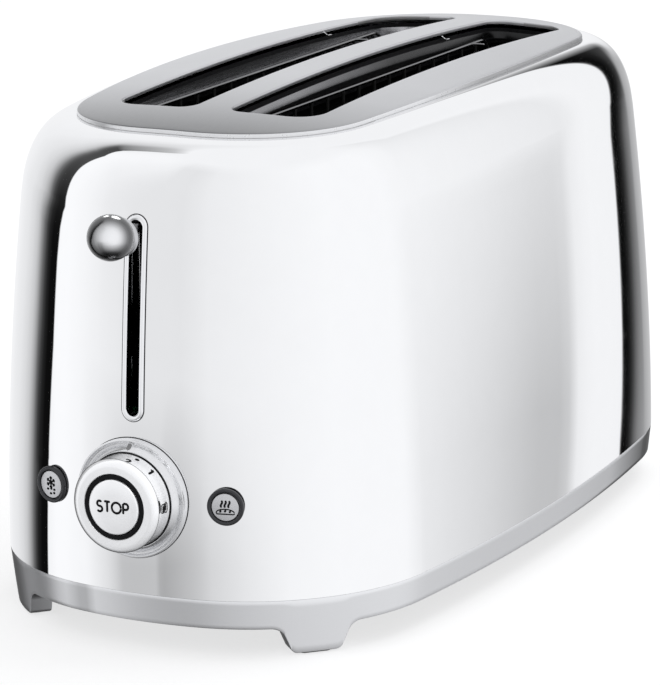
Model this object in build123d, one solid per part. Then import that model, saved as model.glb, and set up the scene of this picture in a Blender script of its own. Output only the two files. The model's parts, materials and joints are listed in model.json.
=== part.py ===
from build123d import *
import math
import os

os.makedirs("parts", exist_ok=True)

# Millimetres, +Z up. The control end, with the lever, faces -Y and the long side lies along Y.
# The outline of the body is eight touching arcs: two sides, two ends and four corners.

# Body shell, outline at its foot
BODY_HALF_WIDTH = 102.3
BODY_HALF_LENGTH = 192.6
BODY_SIDE_RADIUS = 985.0
BODY_END_RADIUS = 160.0
BODY_CORNER_RADIUS = 82.0
SHELL_SHEET = 1.0
SHOULDER_START = 0.815
SHOULDER_POWER = 2.43
WALL_LEAN_SHARE = 0.414
WALL_LEAN_POWER = 1.74
RIM_FLANGE = 4.0
RIM_FLANGE_DROP = 2.0
RIM_SEAT_GAP = 0.1
WALL_STEPS = 12
SHOULDER_STEPS = 6

# Top plate, crowned both ways
PLATE_HALF_WIDTH = 72.5
PLATE_HALF_LENGTH = 157.7
PLATE_SIDE_RADIUS = 805.0
PLATE_END_RADIUS = 905.0
PLATE_CORNER_RADIUS = 56.5
PLATE_TOP = 215.3
PLATE_THICKNESS = 1.8
CROWN_RADIUS_ACROSS = 762.0
CROWN_RADIUS_ALONG = 2160.0

# Bread slots in the plate
SLOT_INNER_X = 8.4
SLOT_WIDTH = 38.6
SLOT_FRONT_Y = -121.9
SLOT_REAR_Y = 140.7
SLOT_END_BOW = 2.5
SLOT_INNER_CORNER = 7.0
SLOT_OUTER_CORNER = 13.0

# Plinth with its four feet
PLINTH_TOP = 24.3
PLINTH_EDGE = 11.9
PLINTH_DRAFT = 2.7
PLINTH_WALL = 3.0
FOOT_BOTTOM = 0.8
FOOT_TOP = 14.0
FOOT_THICKNESS = 9.0
FOOT_HALF_WIDTH = 10.2
FOOT_FLARE_HALF_WIDTH = 15.0
FOOT_FLARE_RADIUS = 6.5
FOOT_TIP_RADIUS = 3.0
PAD_LENGTH = 13.0
PAD_WIDTH = 5.0
PAD_HEIGHT = 2.8
PAD_INSET = 4.4
PAD_CORNER = 2.0

# Bottom plate, chassis and toasting chamber
BOTTOM_SHEET = 1.2
BOTTOM_CLEARANCE = 0.3
VENT_COUNT = 9
VENT_LENGTH = 34.0
VENT_WIDTH = 3.0
VENT_PITCH = 12.0
CHAMBER_END_GAP = 5.0
CHASSIS_SHEET = 1.0
CHASSIS_EDGE = 2.0
CHASSIS_SHELL_GAP = 0.35
FLANGE_EDGE = 8.0
CHASSIS_TOP_DROP = 14.8
CHASSIS_FLANGE = 30.0
REAR_FLANGE = 16.0
REFLECTOR_GAP = 6.0
REFLECTOR_SHEET = 0.6
REFLECTOR_LOW = 36.0
REFLECTOR_DROP = 1.0
MICA_THICKNESS = 0.8
MICA_LOW = 46.0
MICA_DROP = 4.0
MICA_OUTER_GAP = 7.0
MICA_INNER_X = 3.0
RIBBON_RUNS = 8
RIBBON_WIDTH = 3.0
RIBBON_THICKNESS = 0.3
RIBBON_MARGIN = 12.0
DIVIDER_SHEET = 0.8
LINER_SHEET = 0.8
LINER_CLEARANCE = 0.5
LINER_DEPTH = 16.3
LINER_GAP = 2.4

# Bread guides, the wire grids on both sides of each slot
GUIDE_INSET = 2.6
GUIDE_BAR = 1.6
GUIDE_PIVOT_Z = 44.0
GUIDE_LINER_LAP = 5.0
GUIDE_COLUMNS = 16
GUIDE_ROWS = 3
GUIDE_END_GAP = 10.0
GUIDE_PIN_RADIUS = 1.5
GUIDE_PIN_REACH = 1.5
PIN_CLEARANCE = 0.08

# Carriage, bread racks and lever
TRAVEL = 72.0
LEVER_Z = 174.0
RACK_Z = 124.0
RACK_WIDTH = 18.0
RACK_SHEET = 1.2
RACK_WEB = 10.0
RACK_END_GAP = 3.0
RACK_HOLES = 13
RACK_HOLE_LENGTH = 13.0
TONGUE_SLOT_WIDTH = 6.0
TONGUE_END_ROOM = 3.0
CROSSHEAD_GAP = 11.1
CROSSHEAD_SHEET = 1.5
CROSSHEAD_HALF_WIDTH = 36.0
CROSSHEAD_DROP = 12.0
CROSSHEAD_RISE = 10.0
RISER_HALF_WIDTH = 12.0
RISER_RISE = 5.0
GUIDE_ROD_X = 20.0
GUIDE_ROD_RADIUS = 2.5
GUIDE_ROD_FORWARD = 7.0
GUIDE_ROD_END = 4.0
ROD_CLEARANCE = 0.08
BUSH_WIDTH = 12.0
BUSH_REACH = 6.5
BRACKET_DROP = 6.5
BRACKET_SHEET = 1.5
SPRING_X = 8.0
SPRING_RADIUS = 3.4
SPRING_WALL = 0.9
SPRING_PIN_RISE = 6.0
SPRING_PIN_RADIUS = 1.5
KEEPER_HEIGHT = 3.0
KEEPER_HALF_WIDTH = 8.0
MAGNET_GAP = 0.4
MAGNET_HALF_WIDTH = 11.0
MAGNET_DEPTH = 10.0
MAGNET_LEG = 3.7
COIL_OVERHANG = 1.0
COIL_DROP = 2.0
ARM_WIDTH = 3.0
ARM_HEIGHT = 4.0
BALL_RADIUS = 9.4
BALL_STAND_OFF = 20.8
BALL_FLAT = 6.4
COLLAR_RADIUS = 8.0
COLLAR_THICKNESS = 2.4
COLLAR_DROP = 1.2
COLLAR_ROUND = 0.8

# Lever slot and its trim ring
LEVER_SLOT_WIDTH = 5.4
LEVER_SLOT_ROOM_BELOW = 4.0
LEVER_SLOT_ROOM_ABOVE = 3.0
TRIM_FLANGE = 2.3
TRIM_SLEEVE = 1.3
TRIM_PROUD = 1.0
TRIM_DEPTH = 4.0
TRIM_CLEARANCE = 0.1

# Browning dial with the stop button at its centre
DIAL_Z = 64.2
BEZEL_RIM = 5.4
BEZEL_PROUD = 1.9
BEZEL_LIP = 1.6
BEZEL_DISH_DEPTH = 1.5
BEZEL_DISH_SLOPE = 1.0
BEZEL_WELL_GAP = 0.6
BEZEL_BOSS_WALL = 3.3
BEZEL_BOSS_DEPTH = 10.0
DIAL_RADIUS = 19.4
DIAL_CLEARANCE = 0.35
DIAL_BACK_WALL = 1.6
DIAL_WALL = 1.8
DIAL_DRAFT = 0.4
DIAL_SKIRT_FRONT = 8.8
DIAL_RING_FRONT = 15.0
DIAL_RING_ROUND = 3.0
DIAL_RING_BORE = 13.6
DIAL_HUB_RADIUS = 6.5
DIAL_HUB_DEPTH = 14.8
STOP_CLEARANCE = 0.3
INSERT_FRONT = 15.3
INSERT_FLANGE = 1.9
STOP_RADIUS = 11.4
STOP_FRONT = 15.6
STOP_THICKNESS = 6.0
STOP_STEM_RADIUS = 2.6
STOP_STEM_END = 13.4
BUTTON_TRAVEL = 1.5
BUTTON_FREE_GAP = 0.3

# Defrost and reheat buttons
BUTTON_X = 40.4
BUTTON_Z = 64.0
BUTTON_RING_RADIUS = 7.7
BUTTON_RING_PROUD = 1.3
BUTTON_RING_WALL = 1.7
BUTTON_RING_ROUND = 0.7
BUTTON_SLEEVE_INSET = 0.7
BUTTON_SLEEVE_DEPTH = 6.0
BUTTON_CAP_GAP = 0.3
BUTTON_CAP_PROUD = 0.9
BUTTON_STEM_RADIUS = 2.0
BUTTON_STEM_END = 10.5
SWITCH_SIZE = 6.0

# Control board
BOARD_FRONT_DEPTH = 20.0
BOARD_THICKNESS = 1.6
BOARD_HALF_WIDTH = 47.0
BOARD_LOW = 34.0
BOARD_HIGH = 96.0
POST_RADIUS = 3.0
POST_INSET = 5.0
SENSOR_RADIUS = 15.0
SENSOR_DEPTH = 8.0
SENSOR_BORE_GAP = 0.3

# Crumb tray
TRAY_HALF_WIDTH = 51.0
TRAY_SHEET = 0.8
TRAY_FLOOR_GAP = 0.9
TRAY_WALL = 7.0
TRAY_FRONT_GAP = 8.0
TRAY_PANEL_EDGE = 3.0
TRAY_PANEL_HIGH = 38.0
TRAY_PANEL_GAP = 0.4
TRAY_TRAVEL = 240.0
TRAY_LIP_HALF_WIDTH = 20.0
TRAY_LIP_REACH = 4.5
TRAY_LIP_HEIGHT = 3.0
TRAY_LIP_Z = 33.5
TRAY_LIP_ROUND = 1.0
RAIL_WIDTH = 4.0
RAIL_GAP = 0.4

# Fasteners and mains parts
SCREW_RADIUS = 1.5
SCREW_HEAD_RADIUS = 3.0
SCREW_HEAD = 1.8
SCREW_GRIP = 4.0
SCREW_CLEARANCE = 0.2
SCREW_END_ROOM = 5.0
SCREW_SIDE_ROOM = 4.0
GLAND_X = 30.0
GLAND_Y = 168.0
GLAND_RADIUS = 6.0
GLAND_FLANGE = 2.0
GLAND_BORE = 3.6
GLAND_LENGTH = 12.0
TERMINAL_WIDTH = 11.0
TERMINAL_HEIGHT = 18.0
TERMINAL_DEPTH = 14.0
TERMINAL_Z = 44.0
TERMINAL_WAYS = 3
TERMINAL_WELL_DEPTH = 4.0

# Broken edges of small parts, and room that cutting tools run past a face
EDGE_BREAK = 0.4
CUT_MARGIN = 5.0
DEEP_CUT = 20.0
NEAR = 0.01

# Places that follow from the sizes above
BODY_SIZE = (BODY_HALF_WIDTH, BODY_HALF_LENGTH, BODY_SIDE_RADIUS, BODY_END_RADIUS, BODY_CORNER_RADIUS)
PLATE_SIZE = (PLATE_HALF_WIDTH, PLATE_HALF_LENGTH, PLATE_SIDE_RADIUS, PLATE_END_RADIUS, PLATE_CORNER_RADIUS)
RIM_Z = PLATE_TOP - PLATE_THICKNESS - PLATE_HALF_WIDTH ** 2 / (2 * CROWN_RADIUS_ACROSS) - RIM_SEAT_GAP
SLOT_OUTER_X = SLOT_INNER_X + SLOT_WIDTH
SLOT_CENTRE_X = SLOT_INNER_X + SLOT_WIDTH / 2
CHAMBER_FRONT = SLOT_FRONT_Y - CHAMBER_END_GAP
CHAMBER_REAR = SLOT_REAR_Y + CHAMBER_END_GAP
CHAMBER_MIDDLE = (CHAMBER_FRONT + CHAMBER_REAR) / 2
CHASSIS_FOOT = FOOT_TOP + BOTTOM_SHEET
FLANGE_TOP = CHASSIS_FOOT + CHASSIS_SHEET
MICA_OUTER_X = SLOT_OUTER_X + MICA_OUTER_GAP
REFLECTOR_X = MICA_OUTER_X + REFLECTOR_GAP
CHASSIS_HALF_WIDTH = REFLECTOR_X + CHASSIS_EDGE
CHASSIS_TOP = PLATE_TOP - CHASSIS_TOP_DROP
LINER_LOW = PLATE_TOP - LINER_DEPTH
REFLECTOR_HIGH = LINER_LOW - REFLECTOR_DROP
MICA_HIGH = LINER_LOW - MICA_DROP
GUIDE_TOP = LINER_LOW + GUIDE_LINER_LAP
BRACKET_Z = CHASSIS_TOP - BRACKET_DROP
GUIDE_ROD_TOP = BRACKET_Z + GUIDE_ROD_END
GUIDE_X = (SLOT_INNER_X + GUIDE_INSET, SLOT_OUTER_X - GUIDE_INSET)
CROSSHEAD_REAR_Y = CHAMBER_FRONT - CROSSHEAD_GAP
CROSSHEAD_FRONT_Y = CROSSHEAD_REAR_Y - CROSSHEAD_SHEET
CROSSHEAD_LOW = RACK_Z - CROSSHEAD_DROP
CROSSHEAD_HIGH = RACK_Z + CROSSHEAD_RISE
RISER_TOP = LEVER_Z + RISER_RISE
SPRING_PIN_Z = CROSSHEAD_HIGH + SPRING_PIN_RISE
LEVER_SLOT_LOW = LEVER_Z - TRAVEL - LEVER_SLOT_ROOM_BELOW
LEVER_SLOT_HIGH = LEVER_Z + LEVER_SLOT_ROOM_ABOVE
GUIDE_ROD_Y = CROSSHEAD_FRONT_Y - GUIDE_ROD_FORWARD
MAGNET_TOP = CROSSHEAD_LOW - KEEPER_HEIGHT - TRAVEL - MAGNET_GAP
BEZEL_RADIUS = DIAL_RADIUS + BEZEL_RIM
BEZEL_BOSS_RADIUS = DIAL_HUB_RADIUS + BEZEL_BOSS_WALL
DIAL_RING_RADIUS = DIAL_RADIUS - DIAL_DRAFT
DIAL_HUB_BORE = STOP_STEM_RADIUS + STOP_CLEARANCE
INSERT_BORE = STOP_RADIUS + STOP_CLEARANCE
BUTTON_SLEEVE_RADIUS = BUTTON_RING_RADIUS - BUTTON_SLEEVE_INSET
POST_X = BOARD_HALF_WIDTH - POST_INSET
TRAY_FLOOR = PLINTH_TOP + TRAY_FLOOR_GAP
TRAY_PANEL_HALF_WIDTH = TRAY_HALF_WIDTH + TRAY_PANEL_EDGE


def share_at(rise):
    """Share of the way from the body outline to the plate outline, at a share of the height."""
    turn = max(0.0, (rise - SHOULDER_START) / (1 - SHOULDER_START))
    shoulder = 1 - (1 - turn ** SHOULDER_POWER) ** (1 / SHOULDER_POWER)
    return WALL_LEAN_SHARE * rise ** WALL_LEAN_POWER + (1 - WALL_LEAN_SHARE) * shoulder


def size_at(rise, grow=0.0):
    """Outline sizes of the body at a share of its height, grown outwards by a distance."""
    share = share_at(rise)
    return tuple(low + (high - low) * share + grow for low, high in zip(BODY_SIZE, PLATE_SIZE))


def grown(size, distance):
    return tuple(value + distance for value in size)


def corner_centre(size):
    """Centre of the corner arc that touches both the side arc and the end arc."""
    half_width, half_length, side_radius, end_radius, corner_radius = size
    side_x = half_width - side_radius
    end_y = half_length - end_radius
    apart = math.hypot(side_x, end_y)
    from_side = side_radius - corner_radius
    from_end = end_radius - corner_radius
    along = (from_side ** 2 - from_end ** 2 + apart ** 2) / (2 * apart)
    across = math.sqrt(from_side ** 2 - along ** 2)
    unit_x = -side_x / apart
    unit_y = end_y / apart
    return side_x + along * unit_x - across * unit_y, along * unit_y + across * unit_x


def quarter_points(size):
    """Points of one quarter: side joint, middle of the corner arc and end joint."""
    half_width, half_length, side_radius, end_radius, corner_radius = size
    centre_x, centre_y = corner_centre(size)
    side_angle = math.atan2(centre_y, centre_x - half_width + side_radius)
    end_angle = math.atan2(centre_y - half_length + end_radius, centre_x)
    angles = (side_angle, (side_angle + end_angle) / 2, end_angle)
    return [
        (centre_x + corner_radius * math.cos(angle), centre_y + corner_radius * math.sin(angle))
        for angle in angles
    ]


def outline(size, height):
    """Closed wire of eight arcs, where height(x, y) gives the Z of their ends and middles."""
    side, corner, end = quarter_points(size)
    signs = ((1, 1), (-1, 1), (-1, -1), (1, -1))
    points = []
    for sign_x, sign_y in signs:
        quarter = [(sign_x * x, sign_y * y) for x, y in (side, corner, end)]
        forwards = sign_x * sign_y > 0
        points += quarter if forwards else quarter[::-1]
        middle = (0, sign_y * size[1]) if forwards else (sign_x * size[0], 0)
        points.append(middle)
    spots = [Vector(x, y, height(x, y)) for x, y in points]
    starts = range(0, len(spots), 2)
    return Wire([ThreePointArc(spots[i], spots[i + 1], spots[(i + 2) % len(spots)]).edge() for i in starts])


def flat_outline(size, z):
    return outline(size, lambda x, y: z)


def outline_prism(size, low, high):
    """Straight-sided block with the arc outline."""
    return extrude(make_face(flat_outline(size, low).edges()), amount=high - low, dir=(0, 0, 1))


def plate_under(x, y):
    """Height of the underside of the crowned plate."""
    fall = x ** 2 / (2 * CROWN_RADIUS_ACROSS) + y ** 2 / (2 * CROWN_RADIUS_ALONG)
    return PLATE_TOP - PLATE_THICKNESS - fall


def body_loft(grow, low):
    """Closed body through the wall and shoulder sections, ending in the folded-in rim."""
    height = RIM_Z - PLINTH_TOP
    wall = [SHOULDER_START * step / WALL_STEPS for step in range(WALL_STEPS + 1)]
    angles = [math.pi / 2 * step / SHOULDER_STEPS for step in range(1, SHOULDER_STEPS + 1)]
    turns = [math.sin(angle) ** (2 / SHOULDER_POWER) for angle in angles]
    rises = wall + [SHOULDER_START + (1 - SHOULDER_START) * turn for turn in turns]
    sections = []
    if low < PLINTH_TOP:
        sections.append(flat_outline(size_at(0.0, grow), low))
    for rise in rises:
        size = size_at(rise, grow)
        turn = max(0.0, (rise - SHOULDER_START) / (1 - SHOULDER_START))
        level = PLINTH_TOP + height * rise + grow * turn

        def section_height(x, y):
            across = x * PLATE_HALF_WIDTH / size[0]
            along = y * PLATE_HALF_LENGTH / size[1]
            return level + turn * (plate_under(across, along) - RIM_SEAT_GAP - RIM_Z)

        sections.append(outline(size, section_height))
    rim_end = plate_under(0, PLATE_HALF_LENGTH) - RIM_FLANGE_DROP + grow
    sections.append(flat_outline(grown(PLATE_SIZE, grow - RIM_FLANGE), rim_end))
    return Solid.make_loft(sections)


def front_y(x, z, grow=0.0):
    """Y of the control end's outer face at a place across and up."""
    size = size_at((z - PLINTH_TOP) / (RIM_Z - PLINTH_TOP), grow)
    return -(size[1] - size[3]) - math.sqrt(size[3] ** 2 - x ** 2)


def front_tilt(x, z):
    """Angle, in degrees, by which the control end's face turns away from -Y."""
    size = size_at((z - PLINTH_TOP) / (RIM_Z - PLINTH_TOP))
    return math.degrees(math.asin(x / size[3]))


def block(x_range, y_range, z_range):
    """Box between two values on each axis."""
    spans = [(min(r), max(r)) for r in (x_range, y_range, z_range)]
    lengths = [high - low for low, high in spans]
    middles = [(high + low) / 2 for low, high in spans]
    return Pos(*middles) * Box(*lengths)


def round_bar(radius, x, z, y_range):
    """Cylinder along Y."""
    length = max(y_range) - min(y_range)
    return Pos(x, sum(y_range) / 2, z) * Rot(90, 0, 0) * Cylinder(radius, length)


def pillar(radius, x, y, z_range):
    """Cylinder along Z."""
    length = max(z_range) - min(z_range)
    return Pos(x, y, sum(z_range) / 2) * Cylinder(radius, length)


def turned(profile):
    """Solid turned about the Y axis, from points of radius and distance out of the face."""
    face = make_face(Polyline(*[(radius, -out) for radius, out in profile], close=True).edges())
    return revolve(face, Axis.Y, 360)


def stadium(width, low, high, depth_range):
    """Upright slot shape through the control end, between two heights."""
    length = high - low
    middle = (high + low) / 2
    shape = Plane.XZ * SlotOverall(length, width, rotation=90)
    return Pos(0, max(depth_range), middle) * extrude(shape, amount=max(depth_range) - min(depth_range))


def group(solids):
    """One node that holds separate solids."""
    return Compound([solid for item in solids for solid in item.solids()])


BODY = body_loft(0.0, PLINTH_TOP)
BODY_INSIDE = body_loft(-SHELL_SHEET, PLINTH_TOP - CUT_MARGIN)
CHASSIS_ROOM = body_loft(-SHELL_SHEET - CHASSIS_SHELL_GAP, PLINTH_TOP - CUT_MARGIN)
FACE_Y = front_y(0, DIAL_Z)
DIAL_BACK = FACE_Y - front_y(0, DIAL_Z - DIAL_RADIUS) + DIAL_CLEARANCE
FRONT_LIMIT = -BODY_HALF_LENGTH - 2 * CUT_MARGIN


def on_dial(solid):
    """Moves a piece turned about Y to the dial's axis, with zero at the face of the shell."""
    return Pos(0, FACE_Y, DIAL_Z) * solid


def on_button(solid, side):
    """Moves a piece turned about Y to the defrost (-1) or reheat (+1) button's tilted axis."""
    x = side * BUTTON_X
    place = Pos(x, front_y(x, BUTTON_Z), BUTTON_Z)
    return place * Rot(0, 0, front_tilt(x, BUTTON_Z)) * solid


def tray_window(gap):
    """Room that the crumb tray's panel takes at the foot of the rear end, less a gap all round."""
    half_width = TRAY_PANEL_HALF_WIDTH - gap
    rear = BODY_HALF_LENGTH + 2 * CUT_MARGIN
    return block((-half_width, half_width), (CHAMBER_REAR, rear), (PLINTH_TOP + gap, TRAY_PANEL_HIGH - gap))


def outer_shell():
    """Pressed sheet body with its plate opening, lever slot, dial and button holes and tray notch."""
    shell = BODY - BODY_INSIDE
    shell -= outline_prism(grown(PLATE_SIZE, -RIM_FLANGE), RIM_Z - DEEP_CUT, RIM_Z + CUT_MARGIN)
    half_sleeve = TRIM_SLEEVE + TRIM_CLEARANCE
    slot_range = (LEVER_SLOT_LOW - half_sleeve, LEVER_SLOT_HIGH + half_sleeve)
    deep = (FRONT_LIMIT, CROSSHEAD_REAR_Y)
    shell -= stadium(LEVER_SLOT_WIDTH + 2 * half_sleeve, *slot_range, deep)
    shell -= round_bar(BEZEL_BOSS_RADIUS + TRIM_CLEARANCE, 0, DIAL_Z, deep)
    hole = Rot(90, 0, 0) * Cylinder(BUTTON_SLEEVE_RADIUS + TRIM_CLEARANCE, DEEP_CUT)
    shell -= [on_button(hole, side) for side in (-1, 1)]
    shell -= tray_window(0.0) + Pos(0, 0, -CUT_MARGIN) * tray_window(0.0)
    return shell


def crown_block(drop, low):
    """Block under a doubly curved surface that lies a distance below the plate's top face."""
    top = PLATE_TOP - drop
    axis_z = PLATE_TOP - CROWN_RADIUS_ALONG
    half_width = BODY_HALF_WIDTH
    fall = half_width ** 2 / (2 * CROWN_RADIUS_ACROSS)
    arc = ThreePointArc((-half_width, 0, top - fall), (0, 0, top), (half_width, 0, top - fall))
    sides = Polyline((half_width, 0, top - fall), (half_width, 0, low), (-half_width, 0, low))
    closing = Line((-half_width, 0, low), (-half_width, 0, top - fall))
    face = make_face(arc.edges() + sides.edges() + closing.edges())
    swing = math.degrees(BODY_HALF_LENGTH / CROWN_RADIUS_ALONG)
    spin_axis = Axis((0, 0, axis_z), (1, 0, 0))
    return revolve(face.rotate(spin_axis, -swing), spin_axis, 2 * swing)


def slot_face(side, grow=0.0):
    """Outline of one bread slot, with softer corners on the outer side."""
    inner = SLOT_INNER_X - grow
    outer = SLOT_OUTER_X + grow
    front = SLOT_FRONT_Y - grow
    rear = SLOT_REAR_Y + grow
    inner_front, outer_front = (inner, front), (outer, front + SLOT_END_BOW)
    outer_rear, inner_rear = (outer, rear - SLOT_END_BOW), (inner, rear)
    face = make_face(Polyline(inner_front, outer_front, outer_rear, inner_rear, close=True).edges())
    corners = face.vertices().sort_by(Axis.X)
    face = fillet(corners[2:], SLOT_OUTER_CORNER)
    corners = [v for v in face.vertices() if v.X < SLOT_INNER_X + SLOT_INNER_CORNER]
    face = fillet(corners, SLOT_INNER_CORNER)
    return face if side > 0 else mirror(face, Plane.YZ)


def top_plate():
    """Crowned plate with two bread slots, seated on the shell's rim."""
    low = RIM_Z - DEEP_CUT
    plate = crown_block(0.0, low) - crown_block(PLATE_THICKNESS, low - CUT_MARGIN)
    plate &= outline_prism(PLATE_SIZE, low, PLATE_TOP + CUT_MARGIN)
    for side in (-1, 1):
        plate -= extrude(Pos(0, 0, low) * slot_face(side), amount=PLATE_TOP + CUT_MARGIN - low)
    return plate


def plinth_size(z, grow=0.0):
    return grown(BODY_SIZE, grow - PLINTH_DRAFT * (1 - z / PLINTH_TOP))


def plinth_body(grow, low, high):
    """Drafted block that the plinth and its feet are cut from."""
    ends = [flat_outline(plinth_size(z, grow), z) for z in (low, high)]
    return Solid.make_loft(ends, ruled=True)


def foot_frames():
    """Place and turn of each foot: its point on the outline and the angle of its normal."""
    centre_x, centre_y = corner_centre(BODY_SIZE)
    reach = BODY_CORNER_RADIUS * math.sqrt(0.5)
    return [
        (sign_x * (centre_x + reach), sign_y * (centre_y + reach), math.degrees(math.atan2(sign_y, sign_x)))
        for sign_x in (-1, 1) for sign_y in (-1, 1)
    ]


def foot_profile():
    """Flared foot seen along its normal, drawn across and up."""
    half = FOOT_FLARE_HALF_WIDTH + FOOT_FLARE_RADIUS
    right = [
        (FOOT_HALF_WIDTH, FOOT_BOTTOM), (FOOT_FLARE_HALF_WIDTH, PLINTH_EDGE), (half, PLINTH_EDGE),
        (half, FOOT_TOP),
    ]
    left = [(-x, z) for x, z in right[::-1]]
    face = make_face(Polyline(*right, *left, close=True).edges())
    tips = [v for v in face.vertices() if v.Y < FOOT_BOTTOM + NEAR]
    face = fillet(tips, FOOT_TIP_RADIUS)
    flares = [v for v in face.vertices() if abs(abs(v.X) - FOOT_FLARE_HALF_WIDTH) < NEAR]
    return fillet(flares, FOOT_FLARE_RADIUS)


def plinth():
    """Cast band round the foot of the body with a flared foot at each corner."""
    band = plinth_body(0.0, PLINTH_EDGE, PLINTH_TOP)
    band -= plinth_body(-PLINTH_WALL, PLINTH_EDGE - CUT_MARGIN, PLINTH_TOP + CUT_MARGIN)
    feet_ring = plinth_body(0.0, FOOT_BOTTOM, FOOT_TOP)
    feet_ring -= plinth_body(-FOOT_THICKNESS, 0, FOOT_TOP + CUT_MARGIN)
    foot_bar = extrude(foot_profile(), amount=4 * FOOT_THICKNESS, both=True)
    for x, y, angle in foot_frames():
        placed = Pos(x, y, 0) * Rot(0, 0, angle + 90) * Rot(90, 0, 0) * foot_bar
        band += feet_ring & placed
        band -= pad_block(x, y, angle)
    for x, y in plinth_screw_places():
        band -= pillar(SCREW_RADIUS, x, y, (FOOT_TOP - SCREW_GRIP, FOOT_TOP + CUT_MARGIN))
    return band


def pad_block(x, y, angle):
    """Rubber pad let into the underside of a foot."""
    inset = PLINTH_DRAFT + PAD_INSET
    direction = math.radians(angle)
    middle = (x - inset * math.cos(direction), y - inset * math.sin(direction))
    pad = Box(PAD_WIDTH, PAD_LENGTH, PAD_HEIGHT, align=(Align.CENTER, Align.CENTER, Align.MIN))
    pad = fillet(pad.edges().filter_by(Axis.Z), PAD_CORNER)
    return Pos(*middle, 0) * Rot(0, 0, angle) * pad


def plinth_screw_places():
    """Screw places over the feet, inward of the pads."""
    reach = PLINTH_DRAFT + FOOT_THICKNESS / 2
    places = []
    for x, y, angle in foot_frames():
        direction = math.radians(angle)
        places.append((x - reach * math.cos(direction), y - reach * math.sin(direction)))
    return places


def chassis_screw_places():
    """Screw places through the bottom plate into the chassis flanges."""
    front = CHAMBER_FRONT - CHASSIS_FLANGE + SCREW_END_ROOM
    rear = CHAMBER_REAR + REAR_FLANGE - SCREW_END_ROOM
    x = TRAY_PANEL_HALF_WIDTH + SCREW_SIDE_ROOM
    return [(sign * x, y) for sign in (-1, 1) for y in (front, rear)]


def bottom_plate():
    """Sheet that closes the plinth from below, with two rows of vents."""
    size = plinth_size(FOOT_TOP, -PLINTH_WALL - BOTTOM_CLEARANCE)
    plate = outline_prism(size, FOOT_TOP, CHASSIS_FOOT)
    vent = extrude(SlotOverall(VENT_LENGTH, VENT_WIDTH), amount=CUT_MARGIN, both=True)
    vent_x = VENT_LENGTH / 2 + VENT_WIDTH
    first = CHAMBER_MIDDLE - VENT_PITCH * (VENT_COUNT - 1) / 2
    rows = [first + number * VENT_PITCH for number in range(VENT_COUNT)]
    plate -= [Pos(side * vent_x, y, FOOT_TOP) * vent for y in rows for side in (-1, 1)]
    for x, y in plinth_screw_places() + chassis_screw_places():
        plate -= pillar(SCREW_RADIUS + SCREW_CLEARANCE, x, y, (0, CHASSIS_FOOT + CUT_MARGIN))
    plate -= pillar(GLAND_RADIUS, GLAND_X, GLAND_Y, (0, CHASSIS_FOOT + CUT_MARGIN))
    return plate


def tongue_slots(y_range):
    """Upright slots that the bread racks' tongues run in."""
    low = RACK_Z - RACK_WEB - TRAVEL - TONGUE_END_ROOM
    high = RACK_Z + TONGUE_END_ROOM
    half = TONGUE_SLOT_WIDTH / 2
    return [
        block((side * SLOT_CENTRE_X - half, side * SLOT_CENTRE_X + half), y_range, (low, high))
        for side in (-1, 1)
    ]


def guide_pin_holes(y_range):
    return [
        round_bar(GUIDE_PIN_RADIUS + PIN_CLEARANCE, side * x, GUIDE_PIVOT_Z, y_range)
        for side in (-1, 1) for x in GUIDE_X
    ]


def shoulder_rest():
    """What lies outside the chassis's room at the height of the body's shoulder."""
    across = (-BODY_HALF_WIDTH, BODY_HALF_WIDTH)
    along = (-BODY_HALF_LENGTH, BODY_HALF_LENGTH)
    shoulder_z = PLINTH_TOP + (RIM_Z - PLINTH_TOP) * SHOULDER_START
    return block(across, along, (shoulder_z - DEEP_CUT, PLATE_TOP)) - CHASSIS_ROOM


def end_plate(inner_y, outwards, flange):
    """Upright chassis plate with a foot flange, rack slots and guide pin holes."""
    outer_y = inner_y + outwards * CHASSIS_SHEET
    half = CHASSIS_HALF_WIDTH
    plate = block((-half, half), (inner_y, outer_y), (CHASSIS_FOOT, CHASSIS_TOP))
    plate -= shoulder_rest()
    foot = (inner_y, inner_y + outwards * flange)
    foot_half = TRAY_PANEL_HALF_WIDTH + FLANGE_EDGE
    plate += block((-foot_half, foot_half), foot, (CHASSIS_FOOT, CHASSIS_FOOT + CHASSIS_SHEET))
    through = (inner_y - CUT_MARGIN, inner_y + CUT_MARGIN)
    plate -= tongue_slots(through)
    plate -= guide_pin_holes(through)
    for x, y in chassis_screw_places():
        plate -= pillar(SCREW_RADIUS + SCREW_CLEARANCE, x, y, (0, CHASSIS_FOOT + CUT_MARGIN))
    return plate


def chassis_front():
    return end_plate(CHAMBER_FRONT, -1, CHASSIS_FLANGE)


def chassis_rear():
    """Rear chassis plate, cut away where the crumb tray slides through."""
    plate = end_plate(CHAMBER_REAR, 1, REAR_FLANGE)
    half = TRAY_PANEL_HALF_WIDTH + RAIL_GAP
    return plate - block((-half, half), (0, BODY_HALF_LENGTH), (0, TRAY_PANEL_HIGH))


def side_reflector(side):
    """Thin bright sheet behind the outer heating board, with folded top and bottom edges."""
    outer = side * (REFLECTOR_X + REFLECTOR_SHEET)
    wall = block((side * REFLECTOR_X, outer), (CHAMBER_FRONT, CHAMBER_REAR), (REFLECTOR_LOW, REFLECTOR_HIGH))
    edge = (side * (MICA_OUTER_X + 2 * MICA_THICKNESS), side * REFLECTOR_X)
    for z in (REFLECTOR_LOW, REFLECTOR_HIGH - REFLECTOR_SHEET):
        wall += block(edge, (CHAMBER_FRONT, CHAMBER_REAR), (z, z + REFLECTOR_SHEET))
    return wall - shoulder_rest()


def centre_divider():
    half = DIVIDER_SHEET / 2
    return block((-half, half), (CHAMBER_FRONT, CHAMBER_REAR), (REFLECTOR_LOW, REFLECTOR_HIGH))


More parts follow.
